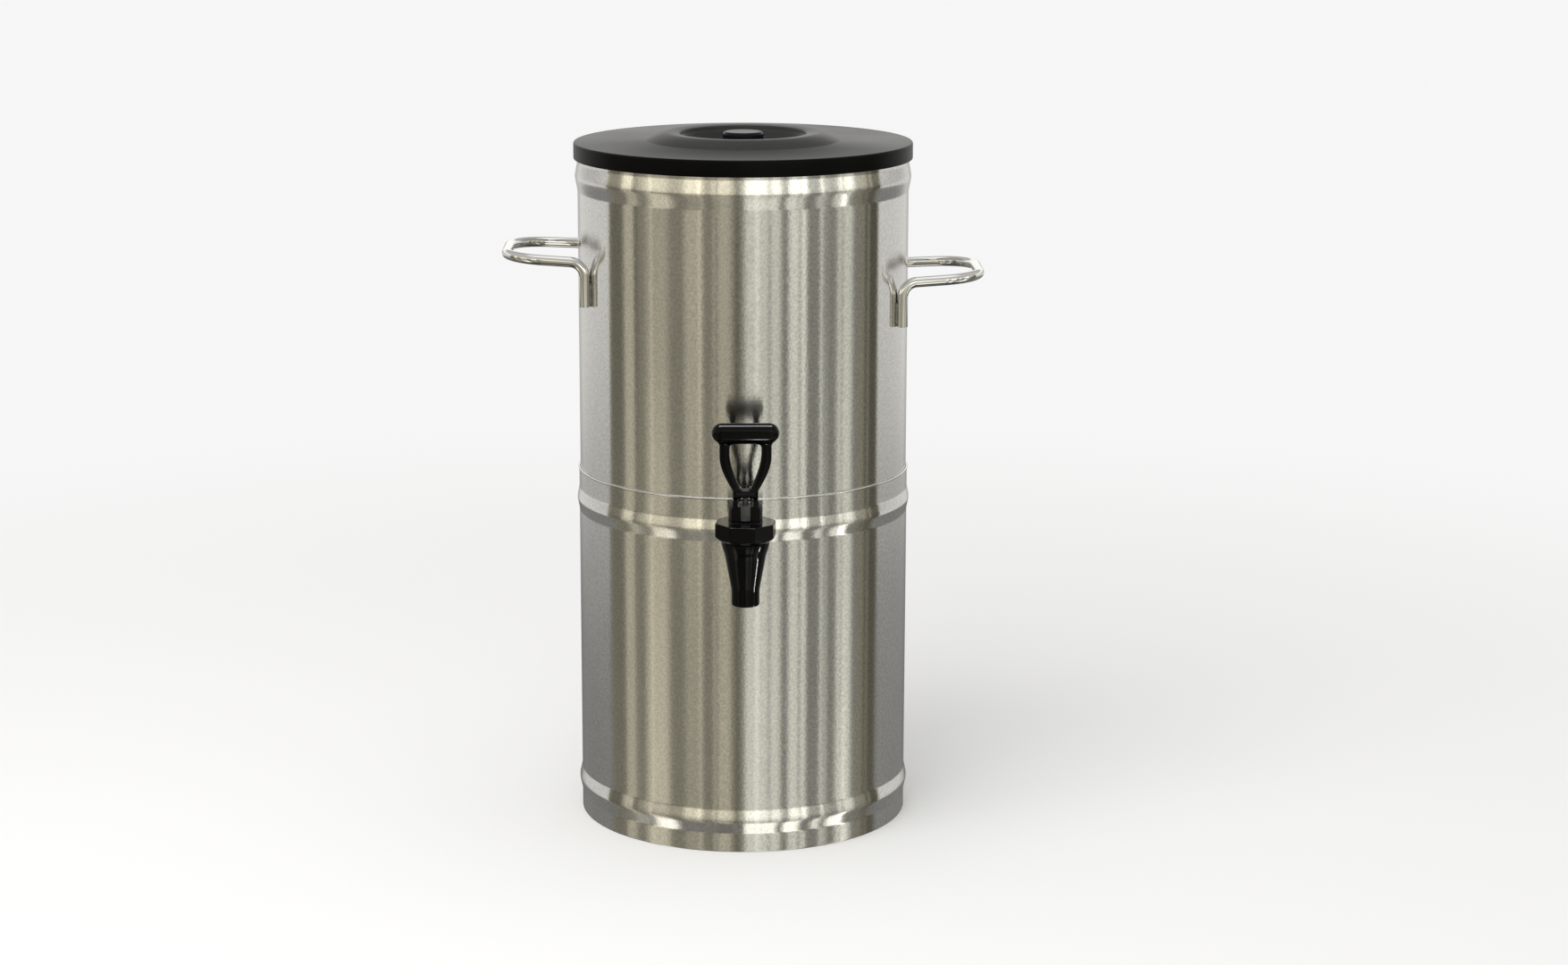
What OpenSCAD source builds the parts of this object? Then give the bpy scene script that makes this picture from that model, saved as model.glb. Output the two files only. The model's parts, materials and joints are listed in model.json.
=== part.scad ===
// Counter-top iced tea dispenser: a steel tank that telescopes into a steel base,
// a lift-off lid with a recessed knob, two bent rod handles and a self-closing lever faucet.
// Millimetres. The origin is on the tank axis in the table plane, and the faucet faces -Y.

/* [Shells] */
// Outside diameter of the base shell
body_d = 254; // [220:1:300]
// Thickness of the steel sheet
sheet_t = 0.8; // [0.6:0.1:1.2]
// Height of the base shell from the table to the seam
base_h = 274.6; // [262:0.2:300]
// Radial gap between the base shell and the tank inside it
tank_fit = 0.1; // [0.05:0.05:0.3]
// Length of tank wall inside the base
tank_overlap = 60.6; // [56:0.2:70]
// Height of the tank shell
tank_h = 307.4; // [280:0.2:340]
// Height of the tank floor above the tank's lower edge
floor_rise = 6; // [4:0.5:9]
// Rise of the tank floor from its rim to its middle
floor_crown = 4; // [2:0.5:6]
// Width of the hem that the base stands on
foot_w = 3; // [2:0.2:5]
// Height of the hem that the base stands on
foot_h = 6; // [4:0.5:10]
// Width of the folded rim at the top of the tank
rim_w = 2.4; // [2:0.1:3]
// Rounding of the folded rim
rim_round = 0.8; // [0.5:0.1:0.9]
// Depth of the folded rim at the top of the tank
rim_h = 5; // [4:0.5:7]
// Height of the rolled edge at the top of the base
roll_h = 1.8; // [1.2:0.1:2.6]
// How far the rolled edge stands out of the base
roll_out = 0.6; // [0.3:0.1:1]

/* [Beads] */
// Width of the bottom bead
low_bead_w = 19; // [14:0.5:24]
// Width of the middle bead
mid_bead_w = 17; // [14:0.5:22]
// Width of the top bead
top_bead_w = 22; // [14:0.5:24]
// Height of the bottom and top beads
bead_h = 1.9; // [1:0.05:2.2]
// Height of the middle bead
mid_bead_h = 1.55; // [1:0.05:2.2]
// Height of the bottom bead's crest above the table
low_bead_z = 24; // [18:0.5:40]
// Distance from the seam down to the middle bead's crest
mid_bead_drop = 25; // [20:0.5:30]
// Distance from the tank rim down to the top bead's crest
top_bead_drop = 22.8; // [20:0.2:30]
// Roundness of a bead's crest, as a share of half its width
crest_round = 0.12; // [0.06:0.02:0.5]

/* [Tank seat] */
// Height of the seat ring's upright flange
seat_h = 20; // [12:1:30]
// Width of the seat ring's level flange
seat_w = 10; // [6:1:16]
// Thickness of the seat ring
seat_t = 1.5; // [1:0.1:2.5]

/* [Lid] */
// Radial gap between the tank and the lid skirt
lid_fit = 0.6; // [0.4:0.1:1]
// Thickness of the lid skirt
skirt_t = 2.3; // [1.8:0.1:3]
// Length of skirt below the tank rim
skirt_drop = 9.6; // [7:0.2:12]
// Gap between the tank rim and the lid that rests on it
lid_seat_gap = 0.2; // [0.1:0.05:0.3]
// Thickness of the lid
lid_t = 2.8; // [2:0.1:3.6]
// Rounding of the lid's top edge
lid_edge_r = 1.4; // [0.8:0.1:2]
// Rise of the lid from its edge to the foot of the raised ring
lid_crown = 1.1; // [0.5:0.1:2]
// Radius of the raised ring's outer foot
ring_foot_r = 74.5; // [68:0.5:85]
// Radius of the raised ring's highest line
ring_peak_r = 58; // [56.5:0.5:64]
// Radius where the raised ring rounds into the finger well
ring_crest_r = 50; // [48:0.5:56]
// Height of the raised ring above its foot
ring_h = 5.9; // [3:0.1:8]
// Fall of the raised ring's top from its highest line towards the well
ring_dip = 0.6; // [0.2:0.1:1]
// Rounding between the raised ring and the well
ring_round = 2.2; // [1.5:0.1:3]
// Depth of the finger well below the lid's edge
well_depth = 9.9; // [7:0.1:12]
// Radius of the flat floor of the finger well
well_floor_r = 38; // [32:0.5:42]
// Inward lean of the finger well's wall below the crest
well_lean = 2; // [1:0.1:4]
// Depth of the plug ring below the tank rim
plug_h = 11; // [8:0.5:14]
// Thickness of the plug ring
plug_t = 2; // [1.5:0.1:3]
// Gap between the plug ring and the tank rim
plug_fit = 0.8; // [0.5:0.1:1.5]

/* [Lid knob] */
// Diameter of the knob
knob_d = 31; // [26:0.5:36]
// Height of the knob above the well floor
knob_h = 17; // [14:0.5:20]
// Diameter of the knob's stalk
stalk_d = 18; // [14:0.5:20]
// Height of the knob's cap
cap_h = 9.5; // [7:0.5:11]
// Rounding of the knob's edges
cap_round = 2.4; // [1:0.1:3]
// Diameter of the knob screw
screw_d = 4.9; // [4:0.1:6]
// Length of the screw in the knob
screw_grip = 9; // [6:0.5:11]
// Diameter of the screw's head
screw_head_d = 9; // [8:0.5:11]
// Height of the screw's head
screw_head_h = 3; // [2:0.1:4]
// Diameter of the washer under the screw's head
knob_washer_d = 14; // [12:0.5:18]
// Thickness of that washer
knob_washer_t = 1; // [0.8:0.1:2]

/* [Handles] */
// Diameter of the handle rod
rod_d = 7.94; // [6:0.02:8.6]
// Distance between the two legs of a handle
handle_w = 103; // [90:1:120]
// How far a handle stands out of the base shell's side
handle_out = 56.4; // [50:0.2:75]
// Tilt of a loop, which rises outwards, in degrees
loop_tilt = 3; // [0:0.5:6]
// Angle by which a loop's two sides run together outwards, in degrees
loop_taper = 6; // [0:0.5:8]
// Bend radius of the outer corners
corner_r = 32; // [20:1:34]
// Bend radius where the rod turns down along the tank
leg_bend_r = 11; // [9:0.5:14]
// Length of a leg below the level where the loop starts
leg_drop = 34; // [28:0.5:45]
// How far the rod swells at the start and end of each bend
bend_swell = 0.06; // [0.04:0.01:0.1]
// Distance from the tank rim down to the left loop
left_drop = 82.3; // [70:0.1:100]
// Distance from the tank rim down to the right loop
right_drop = 97.9; // [80:0.1:120]
// Gap between a leg and the tank wall, filled by the weld
weld_gap = 0.15; // [0.1:0.05:0.3]
// Length of a weld
weld_l = 18; // [10:1:22]
// Width of a weld along the tank wall
weld_leg = 3.2; // [3:0.1:5]
// How far round the rod a weld reaches, in degrees
weld_angle = 45; // [45:10:75]
// Height of a weld above the end of its leg
weld_up = 1; // [0:0.5:4]

/* [Faucet body] */
// Distance from the base shell to the faucet's upright axis
faucet_out = 44; // [40:0.5:55]
// Distance from the seam down to the shank axis
shank_drop = 31.6; // [28:0.2:36]
// Diameter of the shank
shank_d = 19; // [16:0.5:19.5]
// Bore of the shank
shank_bore_d = 13; // [10:0.5:14]
// Depth of the valve seat below the shank's bore
seat_below = 1; // [0.6:0.1:2]
// Radial gap between the shank and the holes that it passes through
shank_fit = 1; // [0.5:0.1:1.5]
// Diameter of the shank's collar
collar_d = 34.4; // [32:0.2:38]
// Thickness of the shank's collar
collar_t = 4; // [3:0.5:6]
// Radius of the spout at its tip
tip_r = 10.25; // [9.5:0.05:11]
// Length of the straight tip below its taper
tip_l = 11.5; // [8:0.5:15]
// Rounding of the tip's end
tip_round = 1.2; // [0.6:0.1:1.6]
// Depth of the spout below the shank axis
spout_drop = 38; // [34:0.5:44]
// Radius of the spout at the shank axis
waist_r = 15.2; // [14.6:0.1:16]
// Radius of the body under the bonnet
head_r = 17.9; // [17:0.1:18.2]
// Radius of the outlet bore
outlet_r = 7.5; // [6:0.1:7.8]
// Radius of the valve chamber
chamber_r = 12; // [11.2:0.1:12.4]
// Radius of the threaded neck inside the bonnet
neck_r = 15.5; // [14.6:0.1:16]
// Height of that neck
neck_l = 9; // [7:0.5:10]
// Gap between threaded pieces
thread_fit = 0.1; // [0.05:0.01:0.15]

/* [Bonnet] */
// Height of the bonnet's lower edge above the shank axis
bonnet_rise = 10; // [9:0.2:13]
// Corner radius of the eight-sided bonnet
bonnet_r = 23; // [21:0.1:25]
// Turn of the bonnet's corners from straight ahead
bonnet_turn = 14.8; // [0:0.1:45]
// Height of the bonnet's lower bevel
bevel_h = 4.2; // [3:0.1:6]
// Height of the bonnet's eight flat sides
flat_h = 10; // [8:0.1:12]
// Bevel of the bonnet's and the turret's top edges
top_bevel = 0.8; // [0.4:0.1:1.2]
// Thickness of the bonnet's roof
roof_t = 3.6; // [3:0.1:4.5]
// Radius of the turret
turret_r = 12.4; // [11.5:0.1:13]
// Half width of the turret's flat front
turret_w = 9.2; // [8.6:0.1:9.8]
// Height of the turret
turret_h = 17.5; // [16:0.5:20]
// Height of the turret's sloped shoulder
shoulder_h = 6; // [4:0.5:8]
// Room above the stem's guide at full lift
window_gap = 1.2; // [0.4:0.1:1.5]
// Half width of the window
window_w = 5.5; // [5:0.1:6.5]

/* [Valve] */
// Half width of the stem's square guide
guide_w = 3.6; // [3.2:0.1:4.2]
// Room below the guide when the valve is shut
guide_room = 0.7; // [0.5:0.1:1.5]
// Gap between the guide and its slot
guide_fit = 0.3; // [0.2:0.05:0.4]
// How far the guide's face stands forward of the faucet's axis
guide_front = 5; // [4.5:0.1:6]
// Radius of the stem below the guide
stem_r = 3; // [2.5:0.1:3.4]
// Radius of the thin link between the guide and the eye
link_r = 2.1; // [1.6:0.1:2.4]
// Half width of the stem's eye
eye_w = 2.5; // [2:0.1:3]
// Radius of the stem's eye
eye_r = 3.1; // [2.8:0.1:3.3]
// Rise of the stem for each radian of lever tilt
cam_rate = 4; // [3:0.1:4.4]
// Lever tilt when fully open, in degrees
lever_open = 50; // [40:1:60]
// Radius of the seat cup
cup_r = 9.5; // [9:0.1:10]
// Thickness of the seat cup below the stem
cup_floor = 2; // [1.5:0.1:3]
// Height of the seat cup above the valve seat
cup_h = 11; // [9:0.5:12]
// Depth of the tapered valve seat
seat_depth = 3; // [2:0.1:4]
// Gap between the cup and the valve seat
cup_gap = 0.3; // [0.2:0.05:0.4]
// Mean radius of the return spring
spring_r = 6.4; // [5.5:0.1:7]
// Wire diameter of the return spring
spring_wire = 1.2; // [0.8:0.1:1.4]
// Number of turns of the return spring
spring_turns = 6; // [4:1:7]

/* [Lever] */
// Height of the lever pin above the turret
pin_rise = 4; // [3.8:0.1:5]
// Diameter of the lever pin
pin_d = 3; // [2.5:0.1:3.2]
// Depth of the pin's ends below the lever's cheeks
pin_inset = 0.5; // [0.2:0.1:1]
// Radial running gap between the pin and the stem's eye
pin_fit = 0.06; // [0.03:0.01:0.1]
// Gap between the lever's foot and the turret
foot_gap = 0.3; // [0.2:0.05:0.4]
// Depth of the foot behind the pin
heel = 6.5; // [5:0.1:8]
// Gap between the lever's cheeks and the stem's eye
cheek_fit = 0.3; // [0.2:0.05:0.5]
// Height of the lever's foot above the pin
foot_rise = 3.4; // [3:0.1:6]
// How deep the loop is rooted in the foot
loop_sink = 1.5; // [1:0.1:2]
// Thickness of the lever's loop from front to back
loop_t = 8; // [6:0.2:10]
// Height from the pin to the middle of the grip
grip_rise = 44; // [38:0.5:52]
// Length of the grip
grip_l = 48.8; // [42:0.2:58]
// Diameter of the grip
grip_d = 14.6; // [12:0.2:17]
// Depth of the flat on the front of the grip
grip_flat = 0.9; // [0.5:0.1:1.5]
// Half width of the loop at the grip
loop_w = 18.9; // [17:0.1:21]
// Width of each arm of the loop
arm_w = 7.4; // [6:0.1:9]
// Height of the front face of the foot's toe
toe_h = 1.4; // [1:0.1:2]
// How far the toe's sloping top runs back
toe_run = 2.5; // [2:0.1:3.5]
// Height of that slope
toe_rise = 1.2; // [1:0.1:2]

/* [Gaskets and nut] */
// Diameter of the outer saddle gasket
saddle_d = 33.2; // [30:0.2:34]
// Thickness of the outer saddle gasket at the bead's crest
saddle_t = 3; // [2:0.2:5]
// Diameter of the inner gasket and washer
washer_d = 28; // [25:0.2:30]
// Thickness of the inner gasket at the tank wall
inner_gasket_t = 3.4; // [2.4:0.2:5]
// Thickness of the steel washer
steel_washer_t = 1.5; // [1:0.1:2.5]
// Width of the shank nut across its flats
nut_af = 26; // [24:0.5:28]
// Thickness of the shank nut
nut_t = 10; // [7:0.5:12]
// Length of shank left beyond the nut
shank_end = 2.5; // [1:0.5:5]
// Gap between pieces that seat on each other
seat_fit = 0.05; // [0.02:0.01:0.1]

/* [Hidden] */
$fn = 64;
EPS = 0.5;
BEAD_STEPS = 12;
ARC_STEPS = 6;
CURVE_STEPS = 10;

// Radii of the shells
shell_r = body_d / 2;
base_in_r = shell_r - sheet_t;
tank_r = base_in_r - tank_fit;
tank_in_r = tank_r - sheet_t;

// Heights of the shells
tank_z = base_h - tank_overlap;
rim_z = tank_z + tank_h;
floor_z = tank_z + floor_rise;
mid_bead_z = base_h - mid_bead_drop;
top_bead_z = rim_z - top_bead_drop;

// Lid levels
lid_under_z = rim_z + lid_seat_gap;
lid_top_z = lid_under_z + lid_t;
lid_r = tank_r + lid_fit + skirt_t;
ring_foot_z = lid_top_z + lid_crown;
crest_z = ring_foot_z + ring_h;
lip_z = crest_z - ring_dip;
well_z = lid_top_z - well_depth;
well_r = ring_crest_r - ring_round;
plug_r = tank_r - rim_w - plug_fit;
screw_hole_r = screw_d / 2 + thread_fit;
screw_seat_z = well_z - lid_t;

// Handle placing
rod_r = rod_d / 2;
leg_y = handle_w / 2;
leg_r = tank_r + rod_r + weld_gap;
leg_x = sqrt(leg_r * leg_r - leg_y * leg_y);
bar_x = shell_r + handle_out - rod_r;
bend_deg = acos(cos(loop_taper) * sin(loop_tilt));
bend_turn = atan2(sin(loop_taper), cos(loop_taper) * cos(loop_tilt));
bend_out = leg_bend_r * (1 - cos(bend_deg));
bend_up = leg_bend_r * sin(bend_deg);
loop_x = leg_x + bend_out * cos(bend_turn);
loop_y = leg_y - bend_out * sin(bend_turn);
loop_l = (bar_x - loop_x) / cos(loop_tilt);
side_l = (loop_l - corner_r * (1 - sin(loop_taper))) / cos(loop_taper);
corner_y = loop_y - side_l * sin(loop_taper) - corner_r * cos(loop_taper);

// Faucet levels on its upright axis
faucet_y = -(shell_r + faucet_out);
shank_z = base_h - shank_drop;
shank_r = shank_d / 2;
spout_z = shank_z - spout_drop;
valve_seat_z = shank_z - shank_bore_d / 2 - seat_below;
bonnet_z = shank_z + bonnet_rise;
neck_top_z = bonnet_z + neck_l;
bonnet_top_z = bonnet_z + bevel_h + flat_h;
roof_z = bonnet_top_z - roof_t;
turret_z = bonnet_top_z + turret_h;
lift = cam_rate * lever_open * PI / 180;
window_h = lift + window_gap;
window_z = turret_z - window_h;
turret_front = sqrt(turret_r * turret_r - turret_w * turret_w);
pin_z = turret_z + pin_rise;
pin_r = pin_d / 2;
cup_top_z = valve_seat_z + cup_h;
stem_z = valve_seat_z + cup_gap + cup_floor;
slot_z = bonnet_top_z + top_bevel;
guide_z = slot_z + guide_room;

// Lever levels, from the pin
foot_drop = pin_rise - foot_gap;
grip_r = grip_d / 2;
loop_low = foot_rise - loop_sink;
loop_top = grip_rise - grip_r / 2;
toe = cam_point(lever_open);
slot_w = eye_w + cheek_fit;
slot_y = eye_r + cheek_fit;
link_room = link_r + cheek_fit;
edge_step = 0.3;
outer_sweep = 135;
inner_sweep = 120;

// Clamping stack along the shank, as Y coordinates
hole_r = shank_r + shank_fit;
saddle_face_y = -(shell_r + mid_bead_h + saddle_t);
collar_face_y = saddle_face_y - collar_t;
inner_face_y = -tank_in_r + inner_gasket_t;
washer_face_y = inner_face_y + steel_washer_t;
nut_face_y = washer_face_y + nut_t;
shank_end_y = nut_face_y + shank_end;

// Height of a bead's section at u, which runs from -1 to 1 across the bead: straight flanks, round crest
function bead_rise(u) =
    (sqrt(1 + pow(crest_round, 2)) - sqrt(u * u + pow(crest_round, 2)))
    / (sqrt(1 + pow(crest_round, 2)) - crest_round);

// Points up one bead of width w on a wall of radius r
function bead_points(r, z, w, h) =
    [for (i = [0:BEAD_STEPS]) let (u = 2 * i / BEAD_STEPS - 1) [r + h * bead_rise(u), z + u * w / 2]];

// Points on an arc about [r, z]
function arc_points(r, z, rad, a0, a1) =
    [for (i = [0:ARC_STEPS]) let (a = a0 + (a1 - a0) * i / ARC_STEPS) [r + rad * cos(a), z + rad * sin(a)]];

// The same list of points from its end to its start
function backward(list) = [for (i = [len(list) - 1:-1:0]) list[i]];

// Height of the raised ring at radius r: a steep outer flank and a nearly level top inside its highest line
function arch_z(r) = crest_z - (r > ring_peak_r
    ? ring_h * pow((r - ring_peak_r) / (ring_foot_r - ring_peak_r), 1.4)
    : ring_dip * pow((ring_peak_r - r) / (ring_peak_r - ring_crest_r), 2));

// Solid outline of the base shell's outside, which the saddle gasket is cut to
module base_outside() {
    rotate_extrude($fn = 128) polygon(concat(
        [[0, 0], [shell_r, 0]],
        bead_points(shell_r, low_bead_z, low_bead_w, bead_h),
        bead_points(shell_r, mid_bead_z, mid_bead_w, mid_bead_h),
        [[shell_r, base_h], [0, base_h]]
    ));
}

// A round bar along Y between two Y coordinates, at the shank's height
module along_shank(r, y0, y1) {
    translate([0, y0, shank_z]) rotate([-90, 0, 0]) rotate([0, 0, 30])
        cylinder(r = r, h = y1 - y0);
}

module base_shell() {
    color("silver") difference() {
        rotate_extrude($fn = 128) polygon(concat(
            [[shell_r - foot_w, 0], [shell_r, 0]],
            bead_points(shell_r, low_bead_z, low_bead_w, bead_h),
            bead_points(shell_r, mid_bead_z, mid_bead_w, mid_bead_h),
            [for (a = [-90:30:90])
                [shell_r + roll_out * cos(a), base_h - roll_h / 2 + roll_h / 2 * sin(a)]],
            [[base_in_r, base_h]],
            backward(bead_points(base_in_r, mid_bead_z, mid_bead_w, mid_bead_h)),
            backward(bead_points(base_in_r, low_bead_z, low_bead_w, bead_h)),
            [[base_in_r, foot_h], [shell_r - foot_w, foot_h]]
        ));
        along_shank(hole_r, -shell_r - 2 * bead_h, -shell_r / 2);
    }
}

module seat_ring() {
    out_r = base_in_r - seat_fit;
    color("gray") rotate_extrude($fn = 128) polygon([
        [out_r, tank_z - seat_h], [out_r, tank_z], [out_r - seat_w, tank_z],
        [out_r - seat_w, tank_z - seat_t], [out_r - seat_t, tank_z - seat_t],
        [out_r - seat_t, tank_z - seat_h]
    ]);
}

module tank_shell() {
    color("silver") difference() {
        rotate_extrude($fn = 128) polygon(concat(
            [[tank_in_r, tank_z], [tank_r, tank_z]],
            bead_points(tank_r, top_bead_z, top_bead_w, bead_h),
            arc_points(tank_r - rim_round, rim_z - rim_round, rim_round, 0, 90),
            arc_points(tank_r - rim_w + rim_round, rim_z - rim_round, rim_round, 90, 180),
            [[tank_r - rim_w, rim_z - rim_h], [tank_in_r, rim_z - rim_h]],
            backward(bead_points(tank_in_r, top_bead_z, top_bead_w, bead_h))
        ));
        along_shank(hole_r, -shell_r, -shell_r / 2);
    }
}

module tank_floor() {
    out_r = tank_in_r - seat_fit;
    skirt_z = tank_z + seat_fit;
    function crown_z(r) = floor_z + floor_crown * (1 - pow(r / out_r, 2));
    steps = [for (i = [0:CURVE_STEPS]) out_r * (1 - i / CURVE_STEPS)];
    color("darkgray") rotate_extrude($fn = 128) polygon(concat(
        [[out_r - sheet_t, skirt_z], [out_r, skirt_z]],
        [for (r = steps) [r, crown_z(r)]],
        [for (r = backward(steps)) if (r < out_r - sheet_t) [r, crown_z(r) - sheet_t]],
        [[out_r - sheet_t, crown_z(out_r - sheet_t) - sheet_t]]
    ));
}

// Straight length of rod up from the origin, with the swelling at the ends (0 or 1) that meet a bend
module rod_run(l, bent) {
    low = bent[0] == 0 ? 4 * bend_swell : 0;
    translate([0, 0, low]) cylinder(r = rod_r, h = l - low - 4 * bend_swell, $fn = 32);
    for (end = bent) translate([0, 0, end * l]) rotate([0, 0, 90]) sphere(r = rod_r + bend_swell, $fn = 48);
}

// One bent rod on the +X side, its loop starting at height z: leg, bend, side, corner and end of the loop
module handle_rod(z) {
    for (side = [-1, 1])
        translate([leg_x, side * leg_y, z - bend_up]) rotate([0, 0, -side * bend_turn]) {
            translate([0, 0, bend_up - leg_drop]) rod_run(leg_drop - bend_up, [1]);
            translate([leg_bend_r, 0, 0]) rotate([90, 0, 0]) rotate([0, 0, 180 - bend_deg])
                rotate_extrude(angle = bend_deg) translate([leg_bend_r, 0]) circle(r = rod_r, $fn = 32);
        }
    translate([loop_x, 0, z]) rotate([0, -loop_tilt, 0]) {
        for (side = [-1, 1]) {
            translate([0, side * loop_y, 0]) rotate([0, 0, -side * loop_taper]) rotate([0, 90, 0])
                rod_run(side_l, [0, 1]);
            translate([loop_l - corner_r, side * corner_y, 0]) rotate([0, 0, side > 0 ? 0 : loop_taper - 90])
                rotate_extrude(angle = 90 - loop_taper) translate([corner_r, 0]) circle(r = rod_r, $fn = 32);
        }
        translate([loop_l, -corner_y, 0]) rotate([-90, 0, 0]) rod_run(2 * corner_y, [0, 1]);
    }
}

module left_handle() {
    color("gainsboro") mirror([1, 0, 0]) handle_rod(rim_z - left_drop);
}

module right_handle() {
    color("gainsboro") handle_rod(rim_z - right_drop);
}

// Fillet welds between the two legs of one handle and the tank wall, on the +X side.
// A weld's section lies between the rod's arc and the wall's, in distances out from the wall and along it.
module leg_welds(z) {
    arc_r = rod_r + seat_fit;
    rod_arc = [for (a = [25:10:weld_angle])
        [rod_r + weld_gap - arc_r * cos(a), arc_r * sin(a)]];
    wall_arc = [for (i = [0:ARC_STEPS]) let (u = weld_leg + (rod_arc[0][1] - weld_leg) * i / ARC_STEPS)
        [seat_fit - u * u / (2 * tank_r), u]];
    for (side = [-1, 1], edge = [0, 1])
        rotate([0, 0, side * atan2(leg_y, leg_x)]) translate([tank_r, 0, z - leg_drop + weld_up])
            mirror([0, edge, 0]) linear_extrude(height = weld_l) polygon(concat(rod_arc, wall_arc));
}

module handle_welds() {
    color("darkgray") {
        leg_welds(rim_z - right_drop);
        mirror([1, 0, 0]) leg_welds(rim_z - left_drop);
    }
}

module lid() {
    wall_r = well_r + lid_t;
    arch = [for (i = [0:CURVE_STEPS]) ring_foot_r + (ring_crest_r - ring_foot_r) * i / CURVE_STEPS];
    color("#1c1c1e") difference() {
        rotate_extrude($fn = 128) polygon(concat(
            [[0, well_z], [well_floor_r, well_z], [well_r - well_lean, lip_z - 2 * ring_round]],
            arc_points(ring_crest_r, lip_z - ring_round, ring_round, 180, 90),
            [for (r = backward(arch)) if (r > ring_crest_r) [r, arch_z(r)]],
            arc_points(lid_r - lid_edge_r, lid_top_z - lid_edge_r, lid_edge_r, 90, 0),
            [[lid_r, lid_under_z - skirt_drop], [lid_r - skirt_t, lid_under_z - skirt_drop],
             [lid_r - skirt_t, lid_under_z], [plug_r, lid_under_z], [plug_r, rim_z - plug_h],
             [plug_r - plug_t, rim_z - plug_h], [plug_r - plug_t, lid_under_z],
             [ring_foot_r, ring_foot_z - lid_t]],
            [for (r = arch) if (r < ring_foot_r && r > wall_r + lid_t) [r, arch_z(r) - lid_t]],
            [[wall_r, lip_z - ring_round - lid_t], [well_floor_r + lid_t, screw_seat_z], [0, screw_seat_z]]
        ));
        translate([0, 0, screw_seat_z - EPS]) cylinder(r = screw_hole_r, h = lid_t + 2 * EPS);
    }
}

module lid_knob() {
    cap_r = knob_d / 2;
    top_z = well_z + knob_h;
    cap_z = top_z - cap_h;
    color("#16171c") difference() {
        rotate_extrude() polygon(concat(
            [[0, well_z], [stalk_d / 2, well_z], [stalk_d / 2, cap_z]],
            arc_points(cap_r - cap_round / 2, cap_z + cap_round / 2, cap_round / 2, -90, 0),
            arc_points(cap_r - cap_round, top_z - cap_round, cap_round, 0, 90),
            [[0, top_z]]
        ));
        translate([0, 0, well_z - EPS]) cylinder(r = screw_hole_r, h = screw_grip + 2 * EPS);
    }
}

module knob_washer() {
    color("silver") translate([0, 0, screw_seat_z - knob_washer_t]) difference() {
        cylinder(d = knob_washer_d, h = knob_washer_t);
        translate([0, 0, -EPS]) cylinder(r = screw_hole_r, h = knob_washer_t + 2 * EPS);
    }
}

module knob_screw() {
    head_z = screw_seat_z - knob_washer_t - screw_head_h;
    color("silver") difference() {
        union() {
            translate([0, 0, head_z]) cylinder(d = screw_head_d, h = screw_head_h);
            translate([0, 0, head_z]) cylinder(d = screw_d, h = well_z + screw_grip - head_z);
        }
        for (turn = [0, 90]) rotate([0, 0, turn])
            translate([-screw_head_d / 4, -screw_d / 10, head_z - EPS])
                cube([screw_head_d / 2, screw_d / 5, screw_head_h / 2 + EPS]);
    }
}

// Moves a piece from the origin to the faucet's upright axis
module on_faucet() {
    translate([0, faucet_y, 0]) children();
}

module faucet_body() {
    taper_z = spout_z + tip_l;
    shoulder_z = (shank_z + bonnet_z) / 2;
    shoulder_r = (waist_r + 2 * head_r) / 3;
    color("#101012") difference() {
        union() {
            on_faucet() rotate_extrude() polygon(concat(
                [[0, spout_z]],
                arc_points(tip_r - tip_round, spout_z + tip_round, tip_round, -90, 0),
                [[tip_r, taper_z], [waist_r, shank_z], [shoulder_r, shoulder_z], [head_r, bonnet_z],
                 [neck_r, bonnet_z], [neck_r, neck_top_z], [0, neck_top_z]]
            ));
            along_shank(shank_r, faucet_y, shank_end_y);
            along_shank(collar_d / 2, collar_face_y, saddle_face_y);
        }
        on_faucet() rotate_extrude() polygon([
            [0, spout_z - EPS], [outlet_r, spout_z - EPS], [outlet_r, valve_seat_z - seat_depth],
            [cup_r + cup_gap, valve_seat_z], [chamber_r, valve_seat_z], [chamber_r, neck_top_z + EPS],
            [0, neck_top_z + EPS]
        ]);
        along_shank(shank_bore_d / 2, faucet_y, shank_end_y + EPS);
    }
}

module saddle_gasket() {
    color("#202020") difference() {
        along_shank(saddle_d / 2, saddle_face_y, -shell_r + 2 * sheet_t);
        base_outside();
        along_shank(shank_r + seat_fit, saddle_face_y - EPS, -shell_r / 2);
    }
}

module inner_gasket() {
    color("#202020") difference() {
        intersection() {
            along_shank(washer_d / 2, -shell_r, inner_face_y);
            translate([0, 0, shank_z - washer_d])
                cylinder(r = tank_in_r - seat_fit, h = 2 * washer_d, $fn = 128);
        }
        along_shank(shank_r + seat_fit, -shell_r - EPS, inner_face_y + EPS);
    }
}

module shank_washer() {
    color("silver") difference() {
        along_shank(washer_d / 2, inner_face_y, washer_face_y);
        along_shank(shank_r + seat_fit, inner_face_y - EPS, washer_face_y + EPS);
    }
}

module shank_nut() {
    color("#26262a") difference() {
        translate([0, washer_face_y, shank_z]) rotate([-90, 0, 0])
            cylinder(r = nut_af / 2 / cos(30), h = nut_t, $fn = 6);
        along_shank(shank_r + thread_fit, washer_face_y - EPS, nut_face_y + EPS);
    }
}

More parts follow.
